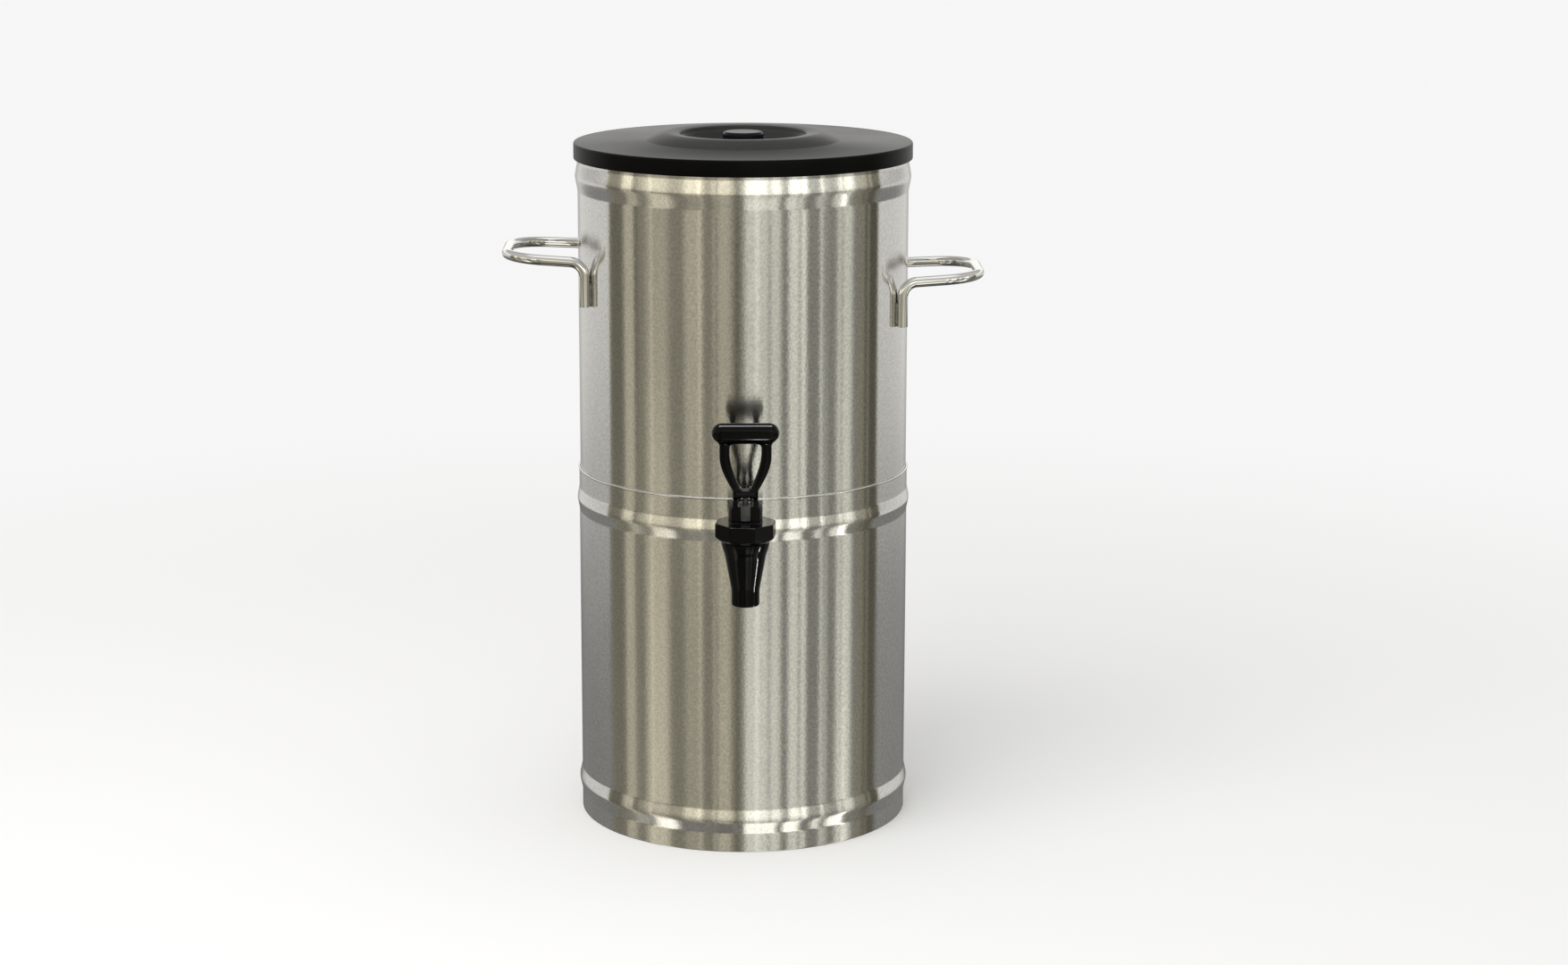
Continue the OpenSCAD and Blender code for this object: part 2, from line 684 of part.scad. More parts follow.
module bonnet() {
    turret_base = bonnet_top_z - EPS;
    shoulder_z = turret_z - shoulder_h;
    color("#101012") on_faucet() difference() {
        union() {
            intersection() {
                translate([0, 0, bonnet_z]) rotate([0, 0, bonnet_turn - 90])
                    cylinder(r = bonnet_r, h = bevel_h + flat_h, $fn = 8);
                rotate_extrude() polygon([
                    [0, bonnet_z], [head_r + thread_fit, bonnet_z],
                    [bonnet_r + thread_fit, bonnet_z + bevel_h],
                    [bonnet_r + thread_fit, bonnet_top_z - top_bevel],
                    [bonnet_r - top_bevel, bonnet_top_z], [0, bonnet_top_z]
                ]);
            }
            difference() {
                union() {
                    rotate_extrude() polygon([
                        [0, turret_base], [turret_r, turret_base], [turret_r, shoulder_z],
                        [turret_w, turret_z - top_bevel], [0, turret_z - top_bevel]
                    ]);
                    translate([-turret_w, -turret_front, turret_base])
                        cube([2 * turret_w, 2 * turret_front, turret_z - turret_base]);
                }
                translate([-bonnet_r, -turret_front - bonnet_r, bonnet_top_z])
                    cube([2 * bonnet_r, bonnet_r, turret_h + EPS]);
            }
        }
        translate([0, 0, bonnet_z - EPS]) cylinder(r = neck_r + thread_fit, h = roof_z - bonnet_z + EPS);
        translate([0, 0, roof_z - EPS]) cylinder(r = stem_r + guide_fit, h = slot_z - roof_z + 2 * EPS);
        translate([-guide_w - guide_fit, -bonnet_r, slot_z])
            cube([2 * (guide_w + guide_fit), bonnet_r + guide_w + guide_fit, turret_h]);
        translate([-window_w, -bonnet_r, window_z]) cube([2 * window_w, 2 * bonnet_r, window_h + EPS]);
    }
}

module valve_stem() {
    color("#4a4a4a") on_faucet() difference() {
        union() {
            translate([0, 0, stem_z]) cylinder(r = stem_r, h = guide_z + EPS - stem_z, $fn = 32);
            translate([-guide_w, -guide_front, guide_z])
                cube([2 * guide_w, guide_front + guide_w, window_z - guide_z]);
            translate([0, 0, window_z - EPS]) cylinder(r = link_r, h = pin_z - window_z, $fn = 32);
            translate([-eye_w, 0, pin_z]) rotate([0, 90, 0]) cylinder(r = eye_r, h = 2 * eye_w, $fn = 32);
        }
        translate([-eye_w - EPS, 0, pin_z]) rotate([0, 90, 0])
            cylinder(r = pin_r + pin_fit, h = 2 * (eye_w + EPS), $fn = 32);
    }
}

module seat_cup() {
    low_z = valve_seat_z + cup_gap;
    tip_z = low_z - seat_depth;
    color("#d8d4c8") on_faucet() difference() {
        rotate_extrude() polygon([
            [0, tip_z], [outlet_r, tip_z], [cup_r, low_z], [cup_r, low_z + cup_h / 2],
            [spring_r + spring_wire, cup_top_z], [0, cup_top_z]
        ]);
        translate([0, 0, stem_z]) cylinder(r = stem_r + seat_fit, h = cup_h, $fn = 32);
    }
}

// Points of one ring of wire around the spring's path at turn t
SPRING_SIDES = 6;
SPRING_RINGS = 16;
spring_low = cup_top_z + spring_wire / 2 + seat_fit;
spring_high = roof_z - spring_wire / 2 - seat_fit;
spring_pitch = (spring_high - spring_low) / spring_turns;
function spring_ring(t) = [
    for (k = [0:SPRING_SIDES - 1]) let (
        a = 360 * k / SPRING_SIDES,
        r = spring_r + spring_wire / 2 * cos(a)
    ) [r * cos(360 * t), r * sin(360 * t), spring_low + spring_pitch * t + spring_wire / 2 * sin(a)]
];

module return_spring() {
    count = spring_turns * SPRING_RINGS;
    points = [for (i = [0:count]) each spring_ring(i / SPRING_RINGS)];
    last = count * SPRING_SIDES;
    sides = [
        for (i = [0:count - 1], k = [0:SPRING_SIDES - 1]) let (
            a = i * SPRING_SIDES + k,
            b = i * SPRING_SIDES + (k + 1) % SPRING_SIDES
        ) each [[a, a + SPRING_SIDES, b], [b, a + SPRING_SIDES, b + SPRING_SIDES]]
    ];
    ends = [
        for (k = [1:SPRING_SIDES - 2]) each [[0, k, k + 1], [last, last + k + 1, last + k]]
    ];
    echo(spring_self_gap = spring_pitch - spring_wire);
    color("lightgray") on_faucet() polyhedron(points, concat(sides, ends));
}

// Half width of the loop at height z: the arms spread along a sine of so many degrees, then run on straight
function loop_half(z, low, high, sweep) =
    low + (high - low) * sin(min(90, sweep * (z - loop_low) / (loop_top - loop_low)));

// Cam outline of the foot in front of the pin: an unwinding string, which lifts the pin at a steady rate
function cam_point(a) = let (s = foot_drop + cam_rate * a * PI / 180)
    [-cam_rate * cos(a) - s * sin(a), -s * cos(a) + cam_rate * sin(a)];

module lever_foot() {
    cam = [for (i = [0:CURVE_STEPS]) cam_point(lever_open * i / CURVE_STEPS)];
    rotate([90, 0, 90]) translate([0, 0, -turret_w]) linear_extrude(height = 2 * turret_w) polygon(concat(
        [[heel, foot_rise], [heel, -foot_drop]], cam,
        [toe + [0, toe_h], toe + [toe_run, toe_h + toe_rise], [-loop_t / 2 - 2 * edge_step, foot_rise]]
    ));
}

// Room between the cheeks for the stem's eye and its link, which swings towards the toe as the lever tilts
module eye_slot() {
    low_z = -foot_drop - 1;
    edge = [-link_room * cos(lever_open), link_room * sin(lever_open)];
    rotate([90, 0, 90]) translate([0, 0, -slot_w]) linear_extrude(height = 2 * slot_w) polygon([
        [2 * grip_r, foot_rise + EPS], [-2 * grip_r, foot_rise + EPS],
        [-2 * grip_r, loop_low], [-slot_y, loop_low],
        [-slot_y, edge[1] - (slot_y + edge[0]) / tan(lever_open)],
        [edge[0] + (low_z - edge[1]) * tan(lever_open), low_z],
        [slot_y, low_z], [slot_y, loop_low], [2 * grip_r, loop_low]
    ]);
}

// The two arms, which stand on the foot's cheeks and carry the grip
module lever_loop() {
    levels = [for (i = [0:CURVE_STEPS]) loop_low + (loop_top - loop_low) * i / CURVE_STEPS];
    outer = [for (z = levels) [loop_half(z, turret_w + edge_step, loop_w, outer_sweep), z]];
    inner = [for (z = levels) [loop_half(z, slot_w + edge_step, loop_w - arm_w, inner_sweep), z]];
    for (side = [0, 1])
        mirror([side, 0, 0]) translate([0, loop_t / 2, 0]) rotate([90, 0, 0])
            linear_extrude(height = loop_t) polygon(concat(outer, backward(inner)));
}

// The cross grip: a turned bar with round ends and a flat for the thumb
module lever_grip() {
    end_x = grip_l / 2 - grip_r;
    flat_x = end_x - edge_step;
    translate([0, 0, grip_rise]) difference() {
        rotate([0, 90, 0]) rotate_extrude() polygon(concat(
            arc_points(0, -end_x, grip_r, -90, 0), arc_points(0, end_x, grip_r, 0, 90)
        ));
        translate([-flat_x, -2 * grip_r + grip_flat, -grip_r]) cube([2 * flat_x, grip_r, 2 * grip_r]);
    }
}

module lever() {
    color("#101012") on_faucet() translate([0, 0, pin_z]) difference() {
        union() {
            lever_foot();
            lever_loop();
            lever_grip();
        }
        eye_slot();
        translate([-turret_w - EPS, 0, 0]) rotate([0, 90, 0])
            cylinder(r = pin_r + seat_fit, h = 2 * (turret_w + EPS), $fn = 32);
    }
}

module lever_pin() {
    color("silver") on_faucet() translate([-turret_w + pin_inset, 0, pin_z]) rotate([0, 90, 0])
        cylinder(r = pin_r, h = 2 * (turret_w - pin_inset), $fn = 32);
}

base_shell();
seat_ring();
tank_shell();
tank_floor();
left_handle();
right_handle();
handle_welds();
lid();
lid_knob();
knob_washer();
knob_screw();
faucet_body();
saddle_gasket();
inner_gasket();
shank_washer();
shank_nut();
bonnet();
valve_stem();
seat_cup();
return_spring();
lever();
lever_pin();
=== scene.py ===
import json
import math

import bmesh
import bpy
import numpy as np
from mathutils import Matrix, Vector


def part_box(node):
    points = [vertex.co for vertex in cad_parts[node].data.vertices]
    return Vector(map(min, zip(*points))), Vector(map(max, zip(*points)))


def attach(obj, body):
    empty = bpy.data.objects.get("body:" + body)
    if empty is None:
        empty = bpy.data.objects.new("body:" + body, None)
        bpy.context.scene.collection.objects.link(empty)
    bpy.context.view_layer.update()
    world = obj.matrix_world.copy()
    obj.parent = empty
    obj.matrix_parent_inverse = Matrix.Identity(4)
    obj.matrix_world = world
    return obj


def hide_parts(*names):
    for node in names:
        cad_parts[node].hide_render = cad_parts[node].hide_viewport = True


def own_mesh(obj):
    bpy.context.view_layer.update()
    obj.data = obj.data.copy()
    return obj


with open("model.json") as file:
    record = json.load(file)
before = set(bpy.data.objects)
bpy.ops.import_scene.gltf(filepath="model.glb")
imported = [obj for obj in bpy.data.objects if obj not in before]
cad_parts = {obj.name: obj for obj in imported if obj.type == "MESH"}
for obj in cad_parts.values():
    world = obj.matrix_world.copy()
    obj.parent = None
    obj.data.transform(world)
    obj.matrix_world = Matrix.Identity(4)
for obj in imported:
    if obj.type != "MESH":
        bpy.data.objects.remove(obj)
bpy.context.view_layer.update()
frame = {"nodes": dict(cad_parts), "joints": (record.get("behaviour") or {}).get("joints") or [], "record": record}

scene = bpy.context.scene
scene.view_settings.view_transform = "Standard"
mm = 0.001  # lengths below are millimetres; meshes are made in metres
sharpDeg = 38  # edges that turn by more than this stay sharp


def nodeBox(name):
    low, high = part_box(name)
    return np.array(low) / mm, np.array(high) / mm


baseHigh = nodeBox("base_shell")[1]
tankLow, tankHigh = nodeBox("tank_shell")
lidLow, lidHigh = nodeBox("lid")
knobLow, knobHigh = nodeBox("lid_knob")
bodyLow, bodyHigh = nodeBox("faucet_body")
bonnetLow, bonnetHigh = nodeBox("bonnet")
springLow, springHigh = nodeBox("return_spring")
pinPlace = np.array(next(j for j in frame["joints"] if j["name"] == "lever_tilt")["pos_m"]) / mm
faucetY = pinPlace[1]


# Mesh helpers

def gridFaces(rows, columns, wrapRows, wrapColumns):
    # quads of a grid whose point (i, j) has the number i * columns + j
    lastRow, lastColumn = rows - (not wrapRows), columns - (not wrapColumns)
    i, j = np.meshgrid(np.arange(lastRow), np.arange(lastColumn), indexing="ij")
    nextI, nextJ = (i + 1) % rows, (j + 1) % columns
    quads = [i * columns + j, nextI * columns + j, nextI * columns + nextJ, i * columns + nextJ]
    return np.stack(quads, -1).reshape(-1, 4)


def newObject(name, points, faces):
    mesh = bpy.data.meshes.new(name)
    mesh.from_pydata((points * mm).tolist(), [], faces.tolist())
    mesh.update()
    piece = bpy.data.objects.new(name, mesh)
    scene.collection.objects.link(piece)
    return piece


def addPiece(name, points, faces, body, slotName, replaced, poles=False, normals=None):
    piece = newObject(name, points, faces)
    mesh = piece.data
    if poles:  # the repeated points at a pole become one
        work = bmesh.new()
        work.from_mesh(mesh)
        bmesh.ops.remove_doubles(work, verts=work.verts, dist=1e-7)
        work.to_mesh(mesh)
        work.free()
    mesh.shade_smooth()
    if normals is None:
        mesh.set_sharp_from_angle(angle=math.radians(sharpDeg))
    else:
        mesh.normals_split_custom_set_from_vertices(normals.tolist())
    mesh.materials.append(finishes[slotName])
    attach(piece, body)
    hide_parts(*replaced)
    print("made", name, "with", len(mesh.polygons), "faces")
    return piece


def arc(centre, radii, startDeg, endDeg, steps=7):
    # points on an ellipse about centre: (cx + rx cos a, cz + rz sin a)
    a = np.radians(np.linspace(startDeg, endDeg, steps))
    return np.stack([centre[0] + radii[0] * np.cos(a), centre[1] + radii[1] * np.sin(a)], -1)


def softCorners(outline, steps=6):
    # outline is (r, z, rounding) corners in order; a corner with rounding becomes an arc that touches
    # both sides
    corners = np.array(outline, float)
    made = []
    for before, here, after in zip(np.roll(corners, 1, 0), corners, np.roll(corners, -1, 0)):
        if here[2] <= 0:
            made.append(here[None, :2])
            continue
        back, ahead = before[:2] - here[:2], after[:2] - here[:2]
        back, ahead = back / np.linalg.norm(back), ahead / np.linalg.norm(ahead)
        half = math.acos(np.clip(back @ ahead, -1, 1)) / 2
        middle = here[:2] + (back + ahead) / np.linalg.norm(back + ahead) * here[2] / math.sin(half)
        first = here[:2] + back * here[2] / math.tan(half) - middle
        last = here[:2] + ahead * here[2] / math.tan(half) - middle
        sweep = math.atan2(first[0] * last[1] - first[1] * last[0], first @ last)
        t = np.linspace(0, sweep, steps)[:, None]
        turned90 = np.array([-first[1], first[0]])
        made.append(middle + first * np.cos(t) + turned90 * np.sin(t))
    return np.concatenate(made)


def turned(profile, steps, closed=True):
    # outline (r, z), anticlockwise, carried round the upright axis: x = r cos a, y = r sin a
    a = np.arange(steps) * 2 * np.pi / steps
    r, z = profile.T
    points = np.stack([np.outer(np.cos(a), r), np.outer(np.sin(a), r), np.tile(z, (steps, 1))], -1)
    return points.reshape(-1, 3), gridFaces(steps, len(profile), True, closed)


def swept(path, tangents, sides, radii, ringSteps):
    # a circle of the given radius at each path point, in the plane of side and tangent x side
    a = np.arange(ringSteps) * 2 * np.pi / ringSteps
    other = np.cross(tangents, sides)
    ring = np.cos(a)[None, :, None] * sides[:, None] + np.sin(a)[None, :, None] * other[:, None]
    points = path[:, None] + radii[:, None, None] * ring
    return points.reshape(-1, 3), gridFaces(len(path), ringSteps, False, True)[:, ::-1]


def drill(piece, points, faces):
    # cuts a closed shape out of a piece
    cutter = newObject("cutter", points, faces)
    cut = piece.modifiers.new("hole", "BOOLEAN")
    cut.object, cut.operation, cut.solver = cutter, "DIFFERENCE", "EXACT"
    graph = bpy.context.evaluated_depsgraph_get()
    whole, piece.data = piece.data, bpy.data.meshes.new_from_object(piece.evaluated_get(graph))
    piece.modifiers.clear()
    piece.data.set_sharp_from_angle(angle=math.radians(sharpDeg))
    bpy.data.objects.remove(cutter)
    bpy.data.meshes.remove(whole)


# Shapes given by a distance field: negative inside, positive outside

def roundMax(a, b, soft):
    # the larger of two distances, its crease rounded over the width soft
    h = np.maximum(soft - np.abs(a - b), 0) / soft
    return np.maximum(a, b) + h * h * soft / 4


def roundMin(a, b, soft):
    # the smaller of two distances, rounded in the same way
    return -roundMax(-a, -b, soft)


def fieldSlope(field, p, reach=0.02):
    # central differences of the field along x, y and z
    steps = np.eye(3) * reach
    return np.stack([(field(*(p + s).T) - field(*(p - s).T)) / (2 * reach) for s in steps], -1)


def sculpted(field, low, high, step, rounds=4, leastSlope=0.1):
    # one point in each grid cell that the surface crosses, at the mean of the crossings on the cell's edges,
    # and one quad round each crossed grid edge; the points are then drawn onto the surface along the slope
    axes = [np.arange(l, h + step, step) for l, h in zip(low, high)]
    values = field(*np.meshgrid(*axes, indexing="ij"))
    shape = values.shape
    total, count = np.zeros(shape + (3,)), np.zeros(shape)
    crossings = []
    for axis in range(3):
        here = [slice(None)] * 3
        ahead = [slice(None)] * 3
        here[axis], ahead[axis] = slice(0, -1), slice(1, None)
        a, b = values[tuple(here)], values[tuple(ahead)]
        at = np.argwhere((a < 0) != (b < 0))
        va, vb = a[tuple(at.T)], b[tuple(at.T)]
        spot = at.astype(float)
        spot[:, axis] += va / (va - vb)
        others = [k for k in range(3) if k != axis]
        ring = []
        for du, dv in ((0, 0), (-1, 0), (-1, -1), (0, -1)):
            cell = at.copy()
            cell[:, others[0]] += du
            cell[:, others[1]] += dv
            np.add.at(total, tuple(cell.T), spot)
            np.add.at(count, tuple(cell.T), 1)
            ring.append(cell)
        turn = (va < 0) == (axis != 1)
        crossings.append((np.stack(ring, 1), turn))
    used = count > 0
    number = np.full(shape, -1)
    number[used] = np.arange(used.sum())
    points = total[used] / count[used][:, None] * step + np.array(low)
    quads = []
    for ring, turn in crossings:
        quad = number[ring[..., 0], ring[..., 1], ring[..., 2]]
        quads.append(np.where(turn[:, None], quad, quad[:, ::-1]))
    for _ in range(rounds):
        slope = fieldSlope(field, points)
        steepness = np.maximum((slope * slope).sum(-1, keepdims=True), leastSlope)
        move = field(*points.T)[:, None] * slope / steepness
        points = points - np.clip(move, -step / 2, step / 2)
    slope = fieldSlope(field, points)
    return points, np.concatenate(quads), slope / np.linalg.norm(slope, axis=-1, keepdims=True)


# Shader nodes

def feed(tree, node, inputs):
    # each named or numbered input takes a link from a socket, or a plain value; a colour is three numbers
    for key, value in inputs.items():
        socket = node.inputs[key]
        if isinstance(value, bpy.types.NodeSocket):
            tree.links.new(value, socket)
        elif socket.type == "RGBA":
            socket.default_value = (*value, 1)
        else:
            socket.default_value = value


def addNode(tree, kind, inputs=None, **settings):
    node = tree.nodes.new(kind)
    for key, value in settings.items():
        setattr(node, key, value)
    feed(tree, node, inputs or {})
    return node


def mathNode(tree, operation, *values):
    # a math node fed by sockets or plain numbers
    return addNode(tree, "ShaderNodeMath", dict(enumerate(values)), operation=operation).outputs[0]


def softStep(tree, value, low, high, fromValue, toValue, kind="SMOOTHSTEP"):
    # fromValue below low, toValue above high and a passage between
    inputs = {"Value": value, "From Min": low, "From Max": high, "To Min": fromValue, "To Max": toValue}
    return addNode(tree, "ShaderNodeMapRange", inputs, interpolation_type=kind).outputs["Result"]


def mixed(tree, factor, a, b):
    # a + factor (b - a), each a number or a socket
    return mathNode(tree, "MULTIPLY_ADD", factor, mathNode(tree, "SUBTRACT", b, a), a)


def tinted(tree, factor, a, b):
    # the colour a turning into b, each a colour or a socket; 6 and 7 are the node's inputs for colours
    return addNode(tree, "ShaderNodeMix", {0: factor, 6: a, 7: b}, data_type="RGBA").outputs[2]


def chosen(tree, factor, first, second, outputKind):
    # the first shader turning into the second, as the tree's surface
    inputs = {0: factor, 1: first.outputs[0], 2: second.outputs[0]}
    choice = addNode(tree, "ShaderNodeMixShader", inputs)
    addNode(tree, outputKind, {"Surface": choice.outputs[0]})


# Materials

grain = {"finer": 2.7, "fineShare": 0.4, "coarseDetail": 2.0, "fineDetail": 1.0, "cloudDetail": 3.0,
         "tintEnds": (0.35, 0.65), "glossEnds": (0.3, 0.7), "upright": 0.25}


def makeGrainGroup():
    # mottled height of a pressed or moulded surface, coarse + share x fine, and a slow cloud
    group = bpy.data.node_groups.new("surfaceGrain", "ShaderNodeTree")
    for name in ("Grains per metre", "Clouds per metre"):
        group.interface.new_socket(name, in_out="INPUT", socket_type="NodeSocketFloat")
    for name in ("Height", "Cloud", "Speck"):
        group.interface.new_socket(name, in_out="OUTPUT", socket_type="NodeSocketFloat")
    given = addNode(group, "NodeGroupInput").outputs
    place = addNode(group, "ShaderNodeTexCoord").outputs["Object"]

    def noise(scale, detail):
        inputs = {"Vector": place, "Scale": scale, "Detail": detail}
        return addNode(group, "ShaderNodeTexNoise", inputs).outputs["Fac"]

    coarse = noise(given["Grains per metre"], grain["coarseDetail"])
    fine = noise(mathNode(group, "MULTIPLY", given["Grains per metre"], grain["finer"]), grain["fineDetail"])
    cloud = noise(given["Clouds per metre"], grain["cloudDetail"])
    height = mathNode(group, "MULTIPLY_ADD", fine, grain["fineShare"], coarse)
    addNode(group, "NodeGroupOutput", {"Height": height, "Cloud": cloud, "Speck": coarse})
    return group


def makeFinish(name, look):
    # Principled shader with the shared grain: clouds shift colour and gloss, the grain is a bump
    material = bpy.data.materials.new(name)
    material.use_nodes = True
    tree = material.node_tree
    given = {"Grains per metre": look["grains"], "Clouds per metre": look["clouds"]}
    texture = addNode(tree, "ShaderNodeGroup", given, node_tree=grainGroup).outputs
    # the colour follows shade = 0.5 + cloudy (cloud - 0.5) + speck (grain - 0.5)
    cloudy, speck = look.get("cloudy", 1.0), look.get("speck", 0.0)
    shade = mathNode(tree, "MULTIPLY_ADD", texture["Cloud"], cloudy, 0.5 - 0.5 * cloudy - 0.5 * speck)
    shade = mathNode(tree, "MULTIPLY_ADD", texture["Speck"], speck, shade)
    tint = addNode(tree, "ShaderNodeValToRGB", {"Fac": shade})
    for end, position, key in zip(tint.color_ramp.elements, grain["tintEnds"], ("dark", "light")):
        end.position = position
        end.color = (*look[key], 1)
    colour = tint.outputs["Color"]
    if "paintedSheen" in look:
        # painted sheen: colour + sheen x shade inside a radius from the upright axis, a paler top above the dark
        # skirt that stands in for the gloss of the top
        outer, inner = look["paintedSheenFrom"]
        place = addNode(tree, "ShaderNodeTexCoord").outputs["Object"]
        flat = addNode(tree, "ShaderNodeVectorMath", {0: place, 1: (1, 1, 0)}, operation="MULTIPLY")
        away = addNode(tree, "ShaderNodeVectorMath", {0: flat.outputs["Vector"]}, operation="LENGTH")
        inside = softStep(tree, away.outputs["Value"], inner * mm, outer * mm, 1.0, 0.0)
        added = {0: mathNode(tree, "MULTIPLY", inside, shade), 1: look["paintedSheen"], 2: colour}
        colour = addNode(tree, "ShaderNodeVectorMath", added, operation="MULTIPLY_ADD").outputs["Vector"]
    gloss = softStep(tree, texture["Cloud"], *grain["glossEnds"], *look["roughness"], kind="LINEAR")
    depth = {"Strength": 1.0, "Distance": look["bump"] * mm, "Height": texture["Height"]}
    bump = addNode(tree, "ShaderNodeBump", depth)
    feed(tree, tree.nodes["Principled BSDF"], {
        "Base Color": colour, "Roughness": gloss, "Normal": bump.outputs["Normal"],
        "Metallic": look.get("metallic", 0.0), "IOR": look.get("ior", 1.5),
        "Anisotropic": look.get("brushed", 0.0), "Anisotropic Rotation": grain["upright"],
    })
    return material


# dark and light are the two ends of the colour, roughness has its two ends, bump is the grain's depth in mm;
# brushed is the share by which a round brushing spreads the gloss upwards more than sideways
looks = {
    "satin_steel": {"metallic": 1.0, "dark": (0.62, 0.612, 0.588), "light": (0.76, 0.752, 0.724),
                    "brushed": 1.0, "roughness": (0.10, 0.13), "grains": 520, "clouds": 7, "bump": 0.025,
                    "speck": 0.9, "cloudy": 0.3},
    "inner_steel": {"metallic": 1.0, "dark": (0.52, 0.51, 0.48), "light": (0.60, 0.59, 0.56),
                    "roughness": (0.28, 0.36), "grains": 500, "clouds": 10, "bump": 0.03},
    "polished_rod": {"metallic": 1.0, "dark": (0.72, 0.71, 0.685), "light": (0.78, 0.77, 0.745),
                     "roughness": (0.04, 0.07), "grains": 900, "clouds": 40, "bump": 0.004},
    "weld_steel": {"metallic": 1.0, "dark": (0.20, 0.19, 0.17), "light": (0.34, 0.33, 0.30),
                   "roughness": (0.3, 0.45), "grains": 1200, "clouds": 300, "bump": 0.05},
    # the lid's top gets a painted sheen: a paler colour inside two radii from the upright axis
    "lid_plastic": {"dark": (0.0010, 0.0010, 0.0011), "light": (0.0018, 0.0018, 0.0019), "ior": 1.17,
                    "roughness": (0.30, 0.36), "grains": 1500, "clouds": 14, "bump": 0.008, "speck": 0.6,
                    "cloudy": 0.3, "paintedSheen": (0.062, 0.062, 0.060), "paintedSheenFrom": (128.9, 127.4)},
    "knob_plastic": {"dark": (0.004, 0.005, 0.007), "light": (0.006, 0.007, 0.010), "ior": 1.18,
                     "roughness": (0.24, 0.32), "grains": 1200, "clouds": 40, "bump": 0.008},
    "fastener_steel": {"metallic": 1.0, "dark": (0.52, 0.52, 0.51), "light": (0.62, 0.62, 0.61),
                       "roughness": (0.2, 0.3), "grains": 1500, "clouds": 90, "bump": 0.01},
    "faucet_plastic": {"dark": (0.0008, 0.0008, 0.0009), "light": (0.0014, 0.0014, 0.0015), "ior": 1.22,
                       "roughness": (0.06, 0.10), "grains": 900, "clouds": 60, "bump": 0.003},
    "gasket_rubber": {"dark": (0.004, 0.004, 0.004), "light": (0.008, 0.008, 0.0078), "ior": 1.2,
                      "roughness": (0.6, 0.75), "grains": 2000, "clouds": 80, "bump": 0.02},
    "nut_plastic": {"dark": (0.022, 0.022, 0.025), "light": (0.032, 0.032, 0.036),
                    "roughness": (0.4, 0.5), "grains": 1500, "clouds": 70, "bump": 0.02},
    "stem_plastic": {"dark": (0.045, 0.045, 0.044), "light": (0.075, 0.075, 0.073),
                     "roughness": (0.38, 0.5), "grains": 1800, "clouds": 200, "bump": 0.015},
    "cup_rubber": {"dark": (0.62, 0.60, 0.54), "light": (0.72, 0.70, 0.64),
                   "roughness": (0.45, 0.55), "grains": 900, "clouds": 60, "bump": 0.01},
}
grainGroup = makeGrainGroup()
finishes = {name: makeFinish(name, look) for name, look in looks.items()}
for part in frame["record"]["subparts"]:
    for place in frame["nodes"][part["node"]].material_slots:
        place.material = finishes[part["material_slot"]]
print("materials made:", len(finishes))


# Steel shells; outside and inside give the spacing of heights on a bead, in its widths, and elsewhere, in mm

bead = {"crestRound": 0.12, "footSoft": 0.05, "reach": 0.8}


def beadRise(u):
    # two straight flanks with a round crest, 1 at u = 0 and 0 at u = -1 and 1, whose foot runs out softly
    top = math.sqrt(1 + bead["crestRound"] ** 2)
    v = (top - np.sqrt(u * u + bead["crestRound"] ** 2)) / (top - bead["crestRound"])
    return (v + np.sqrt(v * v + bead["footSoft"] ** 2)) / (1 + math.sqrt(1 + bead["footSoft"] ** 2))


def wall(radius, low, high, beads, fine, coarse):
    # (r, z) up a plain wall with beads: the heights lie close together on a bead and wide apart elsewhere
    levels = [np.linspace(low, high, int((high - low) / coarse))]
    levels += [b["at"] + b["wide"] * np.arange(-bead["reach"], bead["reach"], fine) for b in beads]
    z = np.unique(np.concatenate(levels).round(3))
    z = z[(z >= low) & (z <= high)]
    r = radius + sum(b["high"] * beadRise(2 * (z - b["at"]) / b["wide"]) for b in beads)
    return np.stack([r, z], -1)


base = {"sheet": 0.8, "footWide": 3.0, "footHigh": 6.0, "edge": 0.5, "rollOut": 0.6, "rollHigh": 1.8,
        "rollFromDeg": -80, "rollSteps": 19, "steps": 288, "outside": (0.023, 9), "inside": (0.06, 14),
        "beads": [{"at": 24.0, "wide": 19.0, "high": 1.9}, {"at": 249.6, "wide": 17.0, "high": 1.55}]}
shellRadius = baseHigh[0] - base["beads"][0]["high"]


def baseProfile():
    # up the outside, over the rolled edge, down the inside and under the hem
    r, top, edge, roll = shellRadius, baseHigh[2], base["edge"], base["rollHigh"]
    rollWide = (base["rollOut"] + base["sheet"]) / 2
    rollCentre = (r + base["rollOut"] - rollWide, top - roll / 2)
    inside = wall(r - base["sheet"], base["footHigh"], top - roll / 2, base["beads"], *base["inside"])
    return np.concatenate([
        arc((r - base["footWide"] + edge, edge), (edge, edge), 180, 270),
        arc((r - edge, edge), (edge, edge), -90, 0),
        wall(r, 2 * edge, top - roll, base["beads"], *base["outside"]),
        arc(rollCentre, (rollWide, roll / 2), base["rollFromDeg"], 180, base["rollSteps"]),
        inside[::-1],
        [[r - base["footWide"], base["footHigh"]]],
    ])


tank = {"sheet": 0.8, "rimWide": 2.4, "rimHigh": 5.0, "rimRound": 0.8,
        "steps": 288, "outside": (0.02, 9), "inside": (0.06, 14),
        "beads": [{"at": tankHigh[2] - 22.8, "wide": 22.0, "high": 1.9}]}
tankRadius = tankHigh[0] - tank["beads"][0]["high"]


